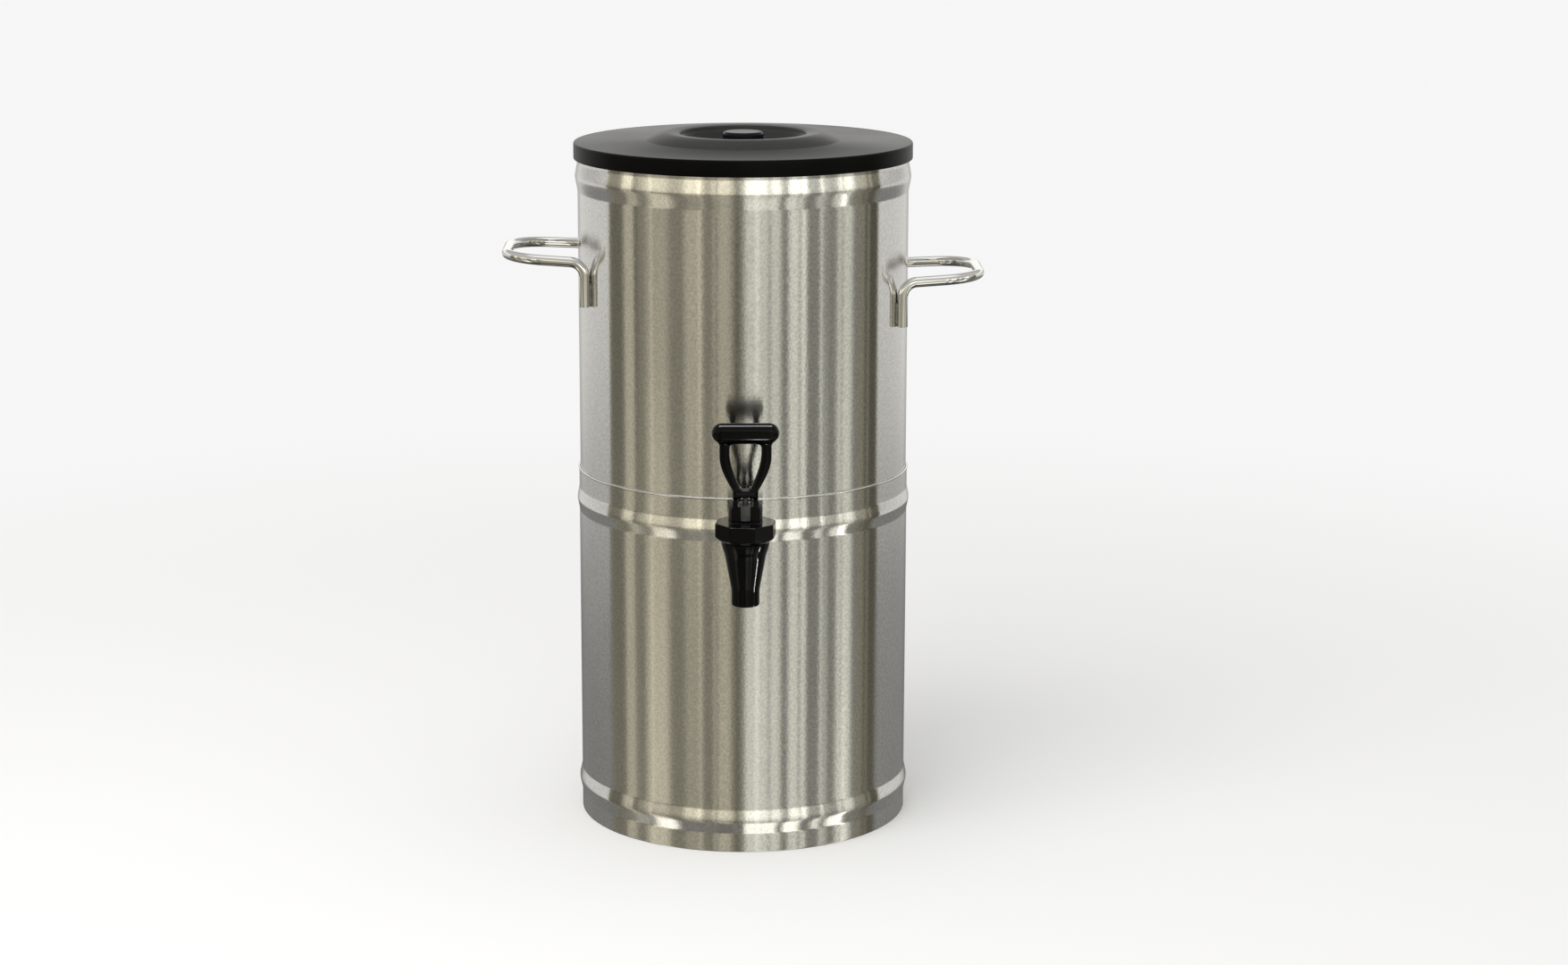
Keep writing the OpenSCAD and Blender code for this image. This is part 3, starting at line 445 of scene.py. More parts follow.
def tankProfile():
    # up the outside, over the folded rim and down the inside
    r, top, soft = tankRadius, tankHigh[2], tank["rimRound"]
    inside = wall(r - tank["sheet"], tankLow[2], top - tank["rimHigh"], tank["beads"], *tank["inside"])
    return np.concatenate([
        wall(r, tankLow[2], top - 2 * soft, tank["beads"], *tank["outside"]),
        arc((r - soft, top - soft), (soft, soft), 0, 90),
        arc((r - tank["rimWide"] + soft, top - soft), (soft, soft), 90, 180),
        [[r - tank["rimWide"], top - tank["rimHigh"]]],
        inside[::-1],
    ])


faucetHole = {"spoutDrop": 38.0, "radius": 10.5, "outside": 8.0, "steps": 48}
shankZ = bodyLow[2] + faucetHole["spoutDrop"]


def shankBar():
    # a closed round bar along Y at the shank's height, from outside the shells to well inside them
    steps, radius = faucetHole["steps"], faucetHole["radius"]
    fromY, toY = -shellRadius - faucetHole["outside"], -shellRadius / 2
    a = np.arange(steps) * 2 * np.pi / steps
    rings = [(0, fromY), (radius, fromY), (radius, toY), (0, toY)]
    points = [np.stack([r * np.cos(a), np.full(steps, y), shankZ + r * np.sin(a)], -1) for r, y in rings]
    return np.concatenate(points), gridFaces(len(rings), steps, False, True)


for pieceName, profile, steps, nodeName in (("baseShell", baseProfile(), base["steps"], "base_shell"),
                                            ("tankShell", tankProfile(), tank["steps"], "tank_shell")):
    drill(addPiece(pieceName, *turned(profile, steps), "root", "satin_steel", [nodeName]), *shankBar())


# Handles: one rod each, bent four times, and the weld beads that hold its legs

rod = {"radius": 3.97, "halfWide": 51.5, "cornerBend": 32.0, "legBend": 11.0, "legDrop": 34.0,
       "wallGap": 0.15, "tiltDeg": 3.0, "taperDeg": 6.0, "endSoft": 0.6, "endUp": 0.3, "endIn": 0.15,
       "legStop": 0.5, "ringSteps": 40, "bendSteps": 25}
legRadius = tankRadius + rod["radius"] + rod["wallGap"]
legX = math.sqrt(legRadius ** 2 - rod["halfWide"] ** 2)


def arcDirections(first, second, fromAngle, toAngle):
    # unit vectors first cos a + second sin a
    a = np.linspace(fromAngle, toAngle, rod["bendSteps"])[:, None]
    return first * np.cos(a) + second * np.sin(a)


def rodPath(barX, z):
    # half a handle on the +X side, from a leg's end to the middle of the bar: leg, bend, side, corner, bar;
    # the loop lies in a plane that rises outwards, and its sides run together outwards
    tilt, taper = math.radians(rod["tiltDeg"]), math.radians(rod["taperDeg"])
    bend, corner, soft = rod["legBend"], rod["cornerBend"], rod["endSoft"]
    y, up = np.array([0.0, 1, 0]), np.array([0.0, 0, 1])
    loopOut = np.array([math.cos(tilt), 0, math.sin(tilt)])
    along = math.cos(taper) * loopOut + math.sin(taper) * y
    bendAngle = math.acos(along[2])
    flatOut = np.array([along[0], along[1], 0]) / math.hypot(along[0], along[1])
    legTop = np.array([legX, -rod["halfWide"], z - bend * math.sin(bendAngle)])
    legLong = rod["legDrop"] - bend * math.sin(bendAngle)
    heights = [-legLong, -legLong, rod["endUp"] * soft - legLong, soft - legLong, -rod["legStop"]]
    leg = legTop + np.array(heights)[:, None] * up
    legBend = legTop + bend * flatOut + bend * arcDirections(-flatOut, up, 0, bendAngle)
    loopStart = legBend[-1]
    loopLong = (barX - loopStart[0]) / math.cos(tilt)
    sideLong = (loopLong - corner * (1 - math.sin(taper))) / math.cos(taper)
    outward = math.sin(taper) * loopOut - math.cos(taper) * y
    cornerOut = arcDirections(loopOut, y, taper - np.pi / 2, 0)
    cornerBend = loopStart + sideLong * along - corner * outward + corner * cornerOut
    bar = cornerBend[-1:] * np.array([1, 0, 1])
    path = np.concatenate([leg, legBend, cornerBend, bar])
    tangents = np.concatenate([
        np.tile(up, (len(leg), 1)),
        arcDirections(up, flatOut, 0, bendAngle),
        arcDirections(y, -loopOut, taper - np.pi / 2, 0),
        [y],
    ])
    # the ring's first direction looks away from the loop, and turns with the corner
    aside = np.array([flatOut[1], -flatOut[0], 0])
    sides = np.concatenate([np.tile(aside, (len(leg) + len(legBend), 1)), cornerOut, [loopOut]])
    radii = np.full(len(path), rod["radius"])
    radii[:3] = 0, rod["radius"] - soft, rod["radius"] - rod["endIn"] * soft
    return path, tangents, sides, radii


def handle(nodeName, side):
    low, high = nodeBox(nodeName)
    reach = max(abs(low[0]), abs(high[0]))
    path, tangents, sides, radii = rodPath(reach - rod["radius"], low[2] + rod["legDrop"])
    flip = np.array([1, -1, 1])  # the second half is the first one seen in a mirror at y = 0
    halves = [(path, path * flip), (tangents, -tangents * flip), (sides, sides * flip), (radii, radii)]
    whole = [np.concatenate([first, second[-2::-1]]) for first, second in halves]
    points, faces = swept(*whole, rod["ringSteps"])
    if side < 0:  # the left handle is the same rod on the -X side
        points, faces = points * np.array([-1, 1, 1]), faces[:, ::-1]
    return points, faces


for pieceName, nodeName, side in (("leftHandle", "left_handle", -1), ("rightHandle", "right_handle", 1)):
    addPiece(pieceName, *handle(nodeName, side), "root", "polished_rod", [nodeName], poles=True)

weld = {"long": 18.0, "up": 1.0, "aside": 2.6, "out": 0.5, "wide": 0.72, "blunt": 6, "ripple": 0.1,
        "ripples": 14, "sway": 0.06, "sways": 2.3, "phaseStep": 0.17, "steps": 90, "ringSteps": 14}


def weldBead(legLow, angle, aside, phase):
    # a rippled bead up the crevice beside a leg: the radius swells and sinks along it, and shrinks to nothing
    # at its ends as the root of 1 - |2t - 1| ^ blunt
    t = np.linspace(0, 1, weld["steps"])
    ends = np.sqrt(np.clip(1 - np.abs(2 * t - 1) ** weld["blunt"], 0, 1))
    radii = weld["wide"] * ends * (1 + weld["ripple"] * np.sin(2 * np.pi * (weld["ripples"] * t + phase)))
    outward = np.array([math.cos(angle), math.sin(angle), 0])
    along = np.array([-math.sin(angle), math.cos(angle), 0])
    up = np.array([0.0, 0, 1])
    sway = weld["sway"] * np.sin(2 * np.pi * (weld["sways"] * t + phase))
    foot = (tankRadius + weld["out"]) * outward + aside * along + (legLow + weld["up"]) * up
    path = foot + sway[:, None] * along + (weld["long"] * t)[:, None] * up
    return swept(path, np.tile(up, (len(t), 1)), np.tile(along, (len(t), 1)), radii, weld["ringSteps"])


def weldBeads():
    # one bead on each side of each leg
    points, faces, count = [], [], 0
    legAngle = math.atan2(rod["halfWide"], legX)
    for nodeName, middle in (("right_handle", 0.0), ("left_handle", math.pi)):
        legLow = nodeBox(nodeName)[0][2]
        for leg, edge in ((-1, -1), (-1, 1), (1, -1), (1, 1)):
            phase = weld["phaseStep"] * len(points)
            p, f = weldBead(legLow, middle + leg * legAngle, edge * weld["aside"], phase)
            points.append(p)
            faces.append(f + count)
            count += len(p)
    return np.concatenate(points), np.concatenate(faces)


addPiece("weldBeads", *weldBeads(), "root", "weld_steel", ["handle_welds"], poles=True)


# Lid with its finger well, and the knob

lid = {"skirt": 2.3, "thick": 2.8, "edge": 1.4, "skirtEdge": 0.5, "crown": 1.1, "ringFoot": 74.5,
       "ringPeak": 58.0, "ringCrest": 50.0, "ringHigh": 5.9, "ringDip": 0.6, "ringRound": 2.2, "swell": 1.4,
       "skirtDrop": 9.6, "wellDepth": 9.9, "wellFloor": 38.0, "wellLean": 2.0, "wellRound": 4.0,
       "wallRound": 1.0, "plugOut": 122.9, "plugThick": 2.0, "plugEdge": 0.5, "plugRoot": 1.0,
       "skirtRoot": 0.4, "hole": 2.55, "underRing": 1.5, "underWell": 4.0, "crestEndDeg": 99,
       "crestSteps": 13, "archSteps": 60, "underEvery": 5, "steps": 288}


def ringFall(r):
    # fall of the raised ring below its highest line: high ((r - peak) / (foot - peak)) ^ swell on the outer
    # flank, dip ((peak - r) / (peak - crest)) ^ 2 on the nearly level top inside that line
    peak = lid["ringPeak"]
    outside = np.maximum(r - peak, 0) / (lid["ringFoot"] - peak)
    inside = np.maximum(peak - r, 0) / (peak - lid["ringCrest"])
    return lid["ringHigh"] * outside ** lid["swell"] + lid["ringDip"] * inside ** 2


def lidProfile():
    # across the well's floor, up its wall, over the ring, out to the edge, down the skirt and back below it,
    # turned round at the end so that the faces look outward
    s = lid
    r, crest, plugLow = lidHigh[0], lidHigh[2], lidLow[2]
    thick, soft, root = s["thick"], s["ringRound"], s["skirtRoot"]
    foot = crest - s["ringHigh"]
    top = foot - s["crown"]
    under, well, lip = top - thick, top - s["wellDepth"], crest - s["ringDip"]
    skirtLow, skirtR, plugR = under - s["skirtDrop"], r - s["skirt"], s["plugOut"] - s["plugThick"]
    archR = np.linspace(s["ringCrest"], s["ringFoot"], s["archSteps"] + 1)[1:]
    arch = crest - ringFall(archR)
    wellTop = s["ringCrest"] - soft - s["wellLean"]
    inner = [(s["hole"], well, 0), (s["wellFloor"], well, s["wellRound"]),
             (wellTop, lip - 2 * soft, s["wallRound"])]
    crestArc = arc((s["ringCrest"], lip - soft), (soft, soft), 180, s["crestEndDeg"], s["crestSteps"])
    over = [(*p, 0) for p in [*crestArc, *zip(archR, arch)]]
    outer = [(r, top, s["edge"]), (r, skirtLow, s["skirtEdge"]), (skirtR, skirtLow, s["skirtEdge"]),
             (skirtR, under, root), (s["plugOut"], under, root), (s["plugOut"], plugLow, s["plugEdge"]),
             (plugR, plugLow, s["plugEdge"]), (plugR, under, s["plugRoot"]), (s["ringFoot"], foot - thick, 0)]
    wallR = s["ringCrest"] - soft + thick
    underArch = zip(archR[::-s["underEvery"]], arch[::-s["underEvery"]])
    below = [(q, z - thick, 0) for q, z in underArch if q > wallR + thick][1:]
    end = [(wallR, lip - soft - thick, s["underRing"]),
           (s["wellFloor"] + thick, well - thick, s["underWell"]), (s["hole"], well - thick, 0)]
    return softCorners(inner + over + outer + below + end)[::-1]


addPiece("lidCover", *turned(lidProfile(), lid["steps"]), "lid", "lid_plastic", ["lid"])

knob = {"stalk": 9.0, "capHigh": 9.5, "round": 2.4, "lowRound": 1.2, "hole": 2.55, "holeDeep": 9.5,
        "foot": 1.0, "steps": 128}


def knobProfile():
    # from the top of the screw hole down and out, up the stalk, round the cap and in to the axis
    r, low, top = knobHigh[0], knobLow[2], knobHigh[2]
    hole, holeTop = knob["hole"], low + knob["holeDeep"]
    capLow = top - knob["capHigh"]
    stalk, foot, soft, lowSoft = knob["stalk"], knob["foot"], knob["round"], knob["lowRound"]
    return np.concatenate([
        [[0, holeTop], [hole, holeTop], [hole, low], [stalk, low]],
        arc((stalk + foot, capLow - foot), (foot, foot), 180, 90),
        arc((r - lowSoft, capLow + lowSoft), (lowSoft, lowSoft), -90, 0),
        arc((r - soft, top - soft), (soft, soft), 0, 90, steps=11),
        [[r / 2, top], [0, top]],
    ])


knobShape = turned(knobProfile(), knob["steps"], closed=False)
addPiece("lidKnob", *knobShape, "lid", "knob_plastic", ["lid_knob"], poles=True)


# Faucet: body with spout and shank, bonnet with its turret, lever

def addSculpted(name, field, step, body, nodeName, margin=1.3):
    low, high = nodeBox(nodeName)
    points, faces, normals = sculpted(field, low - margin, high + margin, step)
    addPiece(name, points, faces, body, "faucet_plastic", [nodeName], normals=normals)


spout = {"tip": 10.25, "tipStraight": 11.5, "waist": 15.2, "shoulder": 17.0, "shoulderUp": 5.0, "head": 17.9,
         "headUp": 10.0, "neck": 15.5, "neckUp": 19.0, "outlet": 7.5, "chamber": 12.0, "seatDown": 7.5,
         "seatDeep": 3.0, "seatWide": 9.8, "seatOver": 0.5, "shank": 9.5, "bore": 6.5, "collar": 17.2,
         "collarFrom": 35.45, "collarTo": 39.45, "lip": 1.4, "edge": 0.6, "overlap": 1.0, "shankEdge": 0.8,
         "join": 3.0, "collarJoin": 1.0, "hollowEdge": 0.8, "step": 0.5}


def spoutRadius(z):
    # straight tip, tapered spout and swelling head, with the kinks between them averaged out over 4 mm
    s = spout
    knots = [bodyLow[2] + s["tipStraight"], shankZ, shankZ + s["shoulderUp"], shankZ + s["headUp"]]
    sizes = [s["tip"], s["waist"], s["shoulder"], s["head"]]
    return sum(np.interp(z + d, knots, sizes) for d in (-2, -1, 0, 1, 2)) / 5


def faucetField(x, y, z):
    # cone with its neck, shank and collar, less the chamber, the outlet and the shank's bore
    s = spout
    y = y - faucetY
    r = np.hypot(x, y)
    across = np.hypot(x, z - shankZ)
    cone = roundMax(r - spoutRadius(z), z - shankZ - s["headUp"], s["edge"])
    neck = roundMax(r - s["neck"], z - shankZ - s["neckUp"], s["edge"])
    neck = np.maximum(neck, shankZ + s["headUp"] - s["overlap"] - z)
    cone = np.minimum(cone, neck)
    cone = roundMax(cone, bodyLow[2] - z, s["lip"])
    shank = roundMax(across - s["shank"], y - (bodyHigh[1] - faucetY), s["shankEdge"])
    shank = np.maximum(shank, -y)
    collarY, collarHalf = (s["collarFrom"] + s["collarTo"]) / 2, (s["collarTo"] - s["collarFrom"]) / 2
    collar = roundMax(across - s["collar"], np.abs(y - collarY) - collarHalf, s["shankEdge"])
    solid = roundMin(roundMin(cone, shank, s["join"]), collar, s["collarJoin"])
    seatZ = shankZ - s["seatDown"]
    chamber = np.maximum(r - s["chamber"], seatZ - z)
    outlet = np.interp(z, [seatZ - s["seatDeep"], seatZ], [s["outlet"], s["seatWide"]])
    hollow = np.minimum(chamber, np.maximum(r - outlet, z - seatZ - s["seatOver"]))
    hollow = np.minimum(hollow, np.maximum(across - s["bore"], -y))
    return roundMax(solid, -hollow, s["hollowEdge"])


addSculpted("faucetBody", faucetField, spout["step"], "root", "faucet_body")

bonnet = {"sides": 8, "corner": 23.0, "turn": 14.8, "head": 17.9, "lowBevel": 4.2, "flats": 10.0,
          "bevel": 0.8, "edge": 0.7, "roof": 3.6, "turret": 12.4, "turretWide": 9.2, "shoulder": 6.0,
          "neck": 15.6, "stemHole": 3.3, "stemOver": 3.0, "slot": 3.9, "slotUp": 0.8, "window": 5.5,
          "windowHigh": 4.69, "drumEdge": 0.8, "drumTop": 0.5, "drumJoin": 0.4, "blockEdge": 0.6,
          "overlap": 1.0, "turretJoin": 0.8, "hollowEdge": 0.5, "step": 0.42}


def bonnetField(x, y, z):
    # eight-sided cap with sloped edges below a turret, which is a coned drum joined to a block; less the room
    # inside, the stem's hole, and the slot and window of the turret
    b = bonnet
    y = y - faucetY
    r = np.hypot(x, y)
    low, top = bonnetLow[2], bonnetLow[2] + b["lowBevel"] + b["flats"]
    flat = b["corner"] * math.cos(math.pi / b["sides"])
    solid = np.full(np.shape(x), -1e3)  # deep inside, until the side planes cut it
    for k in range(b["sides"]):
        a = math.radians(b["turn"] - 90 + (k + 0.5) * 360 / b["sides"])
        solid = roundMax(solid, x * math.cos(a) + y * math.sin(a) - flat, b["edge"])
    rise, run = b["lowBevel"], b["corner"] - b["head"]
    solid = roundMax(solid, ((r - b["head"]) * rise - (z - low) * run) / math.hypot(rise, run), b["edge"])
    solid = roundMax(solid, (r - b["corner"] + z - top + b["bevel"]) / math.sqrt(2), b["edge"])
    solid = roundMax(roundMax(solid, z - top, b["edge"]), low - z, b["edge"])
    front = math.sqrt(b["turret"] ** 2 - b["turretWide"] ** 2)
    turretTop, shoulderZ = bonnetHigh[2], bonnetHigh[2] - b["shoulder"]
    drop, inset = turretTop - b["bevel"] - shoulderZ, b["turret"] - b["turretWide"]
    coned = ((r - b["turret"]) * drop + (z - shoulderZ) * inset) / math.hypot(drop, inset)
    drum = roundMax(r - b["turret"], coned, b["drumEdge"])
    drum = roundMax(drum, z - turretTop + b["bevel"], b["drumTop"])
    block = roundMax(np.abs(x) - b["turretWide"], np.abs(y) - front, b["blockEdge"])
    block = roundMax(block, z - turretTop, b["blockEdge"])
    turret = roundMax(roundMin(drum, block, b["drumJoin"]), -y - front, b["blockEdge"])
    turret = np.maximum(turret, top - b["overlap"] - z)
    solid = roundMin(solid, turret, b["turretJoin"])
    hollow = np.maximum(r - b["neck"], z - top + b["roof"])
    hollow = np.minimum(hollow, np.maximum(r - b["stemHole"], z - top - b["stemOver"]))
    slot = np.maximum(np.maximum(np.abs(x) - b["slot"], y - b["slot"]), top + b["slotUp"] - z)
    window = np.maximum(np.abs(x) - b["window"], turretTop - b["windowHigh"] - z)
    hollow = np.minimum(np.minimum(hollow, slot), window)
    return roundMax(solid, -hollow, b["hollowEdge"])


addSculpted("faucetBonnet", bonnetField, bonnet["step"], "root", "bonnet")

lever = {"footWide": 9.2, "footDrop": 3.7, "footRise": 3.4, "heel": 6.5, "camRate": 4.0, "openDeg": 50.0,
         "camSteps": 13, "toeHigh": 1.4, "toeRun": 2.5, "toeRise": 1.2, "toeBack": 0.6, "footEdge": 0.7,
         "footJoin": 1.0, "loopThick": 8.0, "loopLow": 1.9, "loopWide": 18.9, "outerFoot": 9.5,
         "outerSweep": 135, "innerFoot": 3.1, "innerSweep": 120, "openRound": 5.0, "openOver": 0.4,
         "arm": 7.4, "slant": 0.92, "loopEdge": 1.0, "section": 3.4, "gripUp": 44.0, "gripLong": 48.8,
         "grip": 7.3, "gripFlat": 0.9, "gripEdge": 1.2, "join": 2.5, "slotWide": 2.8, "slotReach": 3.4,
         "slotOver": 0.5, "slotUnder": 1.0, "slotEdge": 0.5, "linkRoom": 2.4, "pinHole": 1.55,
         "pinEdge": 0.4, "step": 0.45}


def footOutline():
    # side view of the foot: square heel behind, in front the path of an unwinding string, which lifts
    # steadily, and the toe's sloping top
    s = lever
    a = np.radians(np.linspace(0, s["openDeg"], s["camSteps"]))
    string, rate = s["footDrop"] + s["camRate"] * a, s["camRate"]
    cam = np.stack([-rate * np.cos(a) - string * np.sin(a), rate * np.sin(a) - string * np.cos(a)], -1)
    toe = cam[-1] + np.array([[0, s["toeHigh"]], [s["toeRun"], s["toeHigh"] + s["toeRise"]]])
    heel = [[s["heel"], s["footRise"]], [s["heel"], -s["footDrop"]]]
    return np.concatenate([heel, cam, toe, [[-s["loopThick"] / 2 - s["toeBack"], s["footRise"]]]])


def slotOutline():
    # side view of the room between the cheeks: wide above, upright for the stem's eye, sloping for its link
    s = lever
    reach, low, tilted = s["slotReach"], -s["footDrop"] - s["slotUnder"], math.radians(s["openDeg"])
    edgeY, edgeZ = -s["linkRoom"] * math.cos(tilted), s["linkRoom"] * math.sin(tilted)
    wide, top = 2 * s["grip"], s["footRise"] + s["slotOver"]
    return np.array([
        [wide, top], [-wide, top], [-wide, s["loopLow"]], [-reach, s["loopLow"]],
        [-reach, edgeZ - (reach + edgeY) / math.tan(tilted)], [edgeY + (low - edgeZ) * math.tan(tilted), low],
        [reach, low], [reach, s["loopLow"]], [wide, s["loopLow"]],
    ])


def outlineDistance(u, v, outline):
    # distance to the nearest side of a closed outline, negative inside: a ray to the right crosses it an odd
    # number of times
    nearest, inside = np.full(np.shape(u), 1e9), np.zeros(np.shape(u), bool)
    for (au, av), (bu, bv) in zip(outline, np.roll(outline, -1, 0)):
        du, dv = bu - au, bv - av
        t = np.clip(((u - au) * du + (v - av) * dv) / (du * du + dv * dv), 0, 1)
        nearest = np.minimum(nearest, (u - au - t * du) ** 2 + (v - av - t * dv) ** 2)
        if dv:
            inside ^= ((av > v) != (bv > v)) & (u < au + du * (v - av) / dv)
    return np.where(inside, -1, 1) * np.sqrt(nearest)


def spread(z, low, high, lowWide, highWide, rate):
    # half width that grows from lowWide to highWide like the first part of a sine and then stays
    t = np.clip((z - low) / (high - low), 0, 1)
    return lowWide + (highWide - lowWide) * np.sin(np.minimum(np.pi / 2, np.radians(rate) * t))


def leverField(x, y, z):
    # foot, loop with its opening and cross grip, less the room for the stem's eye and the pin's hole
    s = lever
    x = np.abs(x)
    y, z = y - faucetY, z - pinPlace[2]
    foot = roundMax(outlineDistance(y, z, footOutline()), x - s["footWide"], s["footEdge"])
    loopTop = s["gripUp"] - s["grip"] / 2
    outer = spread(z, s["loopLow"], loopTop, s["outerFoot"], s["loopWide"], s["outerSweep"])
    inner = spread(z, s["loopLow"], loopTop, s["innerFoot"], s["loopWide"] - s["arm"], s["innerSweep"])
    opening = roundMax(x - inner, z - s["gripUp"] + s["grip"] - s["openOver"], s["openRound"])
    loop = roundMax((x - outer) * s["slant"], -opening * s["slant"], s["loopEdge"])
    loop = roundMax(loop, np.abs(y) - s["loopThick"] / 2, s["section"])
    loop = np.maximum(loop, np.maximum(s["loopLow"] - z, z - s["gripUp"]))
    gripEnd = s["gripLong"] / 2 - s["grip"]
    grip = np.sqrt(np.maximum(x - gripEnd, 0) ** 2 + y ** 2 + (z - s["gripUp"]) ** 2) - s["grip"]
    grip = roundMax(grip, -y - s["grip"] + s["gripFlat"], s["gripEdge"])
    solid = roundMin(roundMin(foot, loop, s["footJoin"]), grip, s["join"])
    slot = np.maximum(x - s["slotWide"], outlineDistance(y, z, slotOutline()))
    hole = np.hypot(y, z) - s["pinHole"]
    return roundMax(roundMax(solid, -slot, s["slotEdge"]), -hole, s["pinEdge"])


addSculpted("faucetLever", leverField, lever["step"], "lever", "lever")


# Return spring between the seat cup and the bonnet's roof; the real one shortens as the stem rises, this coil
# keeps one length

spring = {"turns": 6, "wire": 1.2, "lift": 3.5, "turnSteps": 48, "ringSteps": 12}


def springCoil():
    # x = r cos a, y = r sin a, and z rises by one pitch a turn; the ends are closed flat
    thin = spring["wire"] / 2
    middle = (springLow + springHigh) / 2
    radius = (springHigh[0] - springLow[0]) / 2 - thin
    turn = np.linspace(0, spring["turns"], spring["turns"] * spring["turnSteps"] + 1)
    turn = np.concatenate([turn[:1], turn, turn[-1:]])
    a = 2 * np.pi * turn
    outward = np.stack([np.cos(a), np.sin(a), 0 * a], -1)
    along = np.stack([-np.sin(a), np.cos(a), 0 * a], -1)
    path = middle + radius * outward
    path[:, 2] = springLow[2] + thin + (springHigh[2] - springLow[2] - 2 * thin) * turn / spring["turns"]
    radii = np.full(len(turn), thin)
    radii[[0, -1]] = 0
    return swept(path, along, outward, radii, spring["ringSteps"])


springPiece = addPiece("returnSpring", *springCoil(), "root", "fastener_steel", ["return_spring"], poles=True)
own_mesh(springPiece)


# Studio: a pale floor, a surround of soft panels, lamps and the camera

# levels of the surround, and the two azimuths or elevations in degrees between which one passes into the
# next; the floor's size and fade are metres
studio = {"floorSize": 40, "floorColour": (0.92, 0.92, 0.92), "fade": (0.4, 1.6), "white": 0.925,
          "room": 0.25, "underLow": (-40, -28), "lowHigh": (-17, -9.5), "rise": (-1, 11),
          "gain": 2.9, "skyFrom": (16, 24), "frontSky": 0.6, "farSky": 0.5, "farSkyFrom": (125, 150),
          "top": 1.15, "topFrom": (58, 70), "table": 0.08, "tableFrom": (-52, -46), "nadir": 1.2,
          "nadirFrom": (-81, -75), "farFrom": (106, 108), "farSide": (0.24, 0.78),
          "farLowHigh": (-15.2, -9.6), "farDip": 0.55, "farDipAt": 2.5, "farDipHalf": (2, 4),
          "farStrip": 1.1, "farStripFrom": (5.5, 9), "farTable": 0.16, "backLow": (0.2, 0.55), "back": 1.15,
          "backFrom": (152, 164), "backRise": (-1, 4), "rightFrom": (-6, 4),
          "rightTo": (83, 90), "leftTint": (1, 0.935, 0.73), "rightTint": (1, 0.995, 0.88),
          "farTint": (1, 0.99, 0.96), "tableTint": (1, 0.975, 0.89), "skyTint": (1, 0.998, 0.99)}
# upright panels round the object, first the broad and then the narrow ones: azimuth from the camera's side
# towards +X, half width, soft edge, and what each adds to the room's level near the table, low and higher up
panels = [
    (-99, 5.5, 3, (0.05, -0.03, -0.09)),
    (-86.5, 4.5, 3, (0.20, 0.26, 0.25)),
    (-80, 2, 2, (0.30, 0.05, -0.08)),
    (-63, 9, 8, (1.5, 0.42, 0.14)),
    (-35, 6.5, 6, (0, 0.13, 0.24)),
    (-15, 6, 5, (-0.05, 0.27, 0.19)),
    (-4.6, 1.6, 1.2, (0, -0.06, -0.10)),
    (13, 12.5, 5, (1.5, 0.50, 0.40)),
    (37.5, 6.5, 4, (1.6, 0.47, 0.52)),
    (41.5, 2, 2, (0, 0, 0.08)),
    (58, 3, 2, (1.1, 0.28, 0.04)),
    (74.5, 6.5, 5.5, (1.6, 0.56, 0.40)),
    (99.5, 6.5, 3, (0, -0.13, -0.15)),
    (-67, 1, 0.8, (0, 0.16, 0.16)),
    (-30.5, 1.2, 0.8, (0, 0.12, 0.18)),
    (-18.6, 0.8, 0.6, (0, -0.18, -0.2)),
    (9, 1.4, 1, (0, 0.2, 0.2)),
    (17.5, 1.4, 1, (0, -0.2, -0.2)),
    (39, 1, 0.8, (0, -0.3, -0.3)),
    (55, 1.2, 0.8, (0, 0.2, 0.36)),
    (72, 1.1, 0.8, (0, -0.25, -0.25)),
    (96.5, 1, 0.8, (0, 0.14, 0.16)),
]
# a small bright patch low on the right, which the shiny black plastic shows: its soft edge lies between two
# distances from its middle across and two upwards
patch = {"at": 77.0, "up": -30.0, "across": (1.4, 2.2), "upwards": (4.9, 7.7), "level": 3.2}


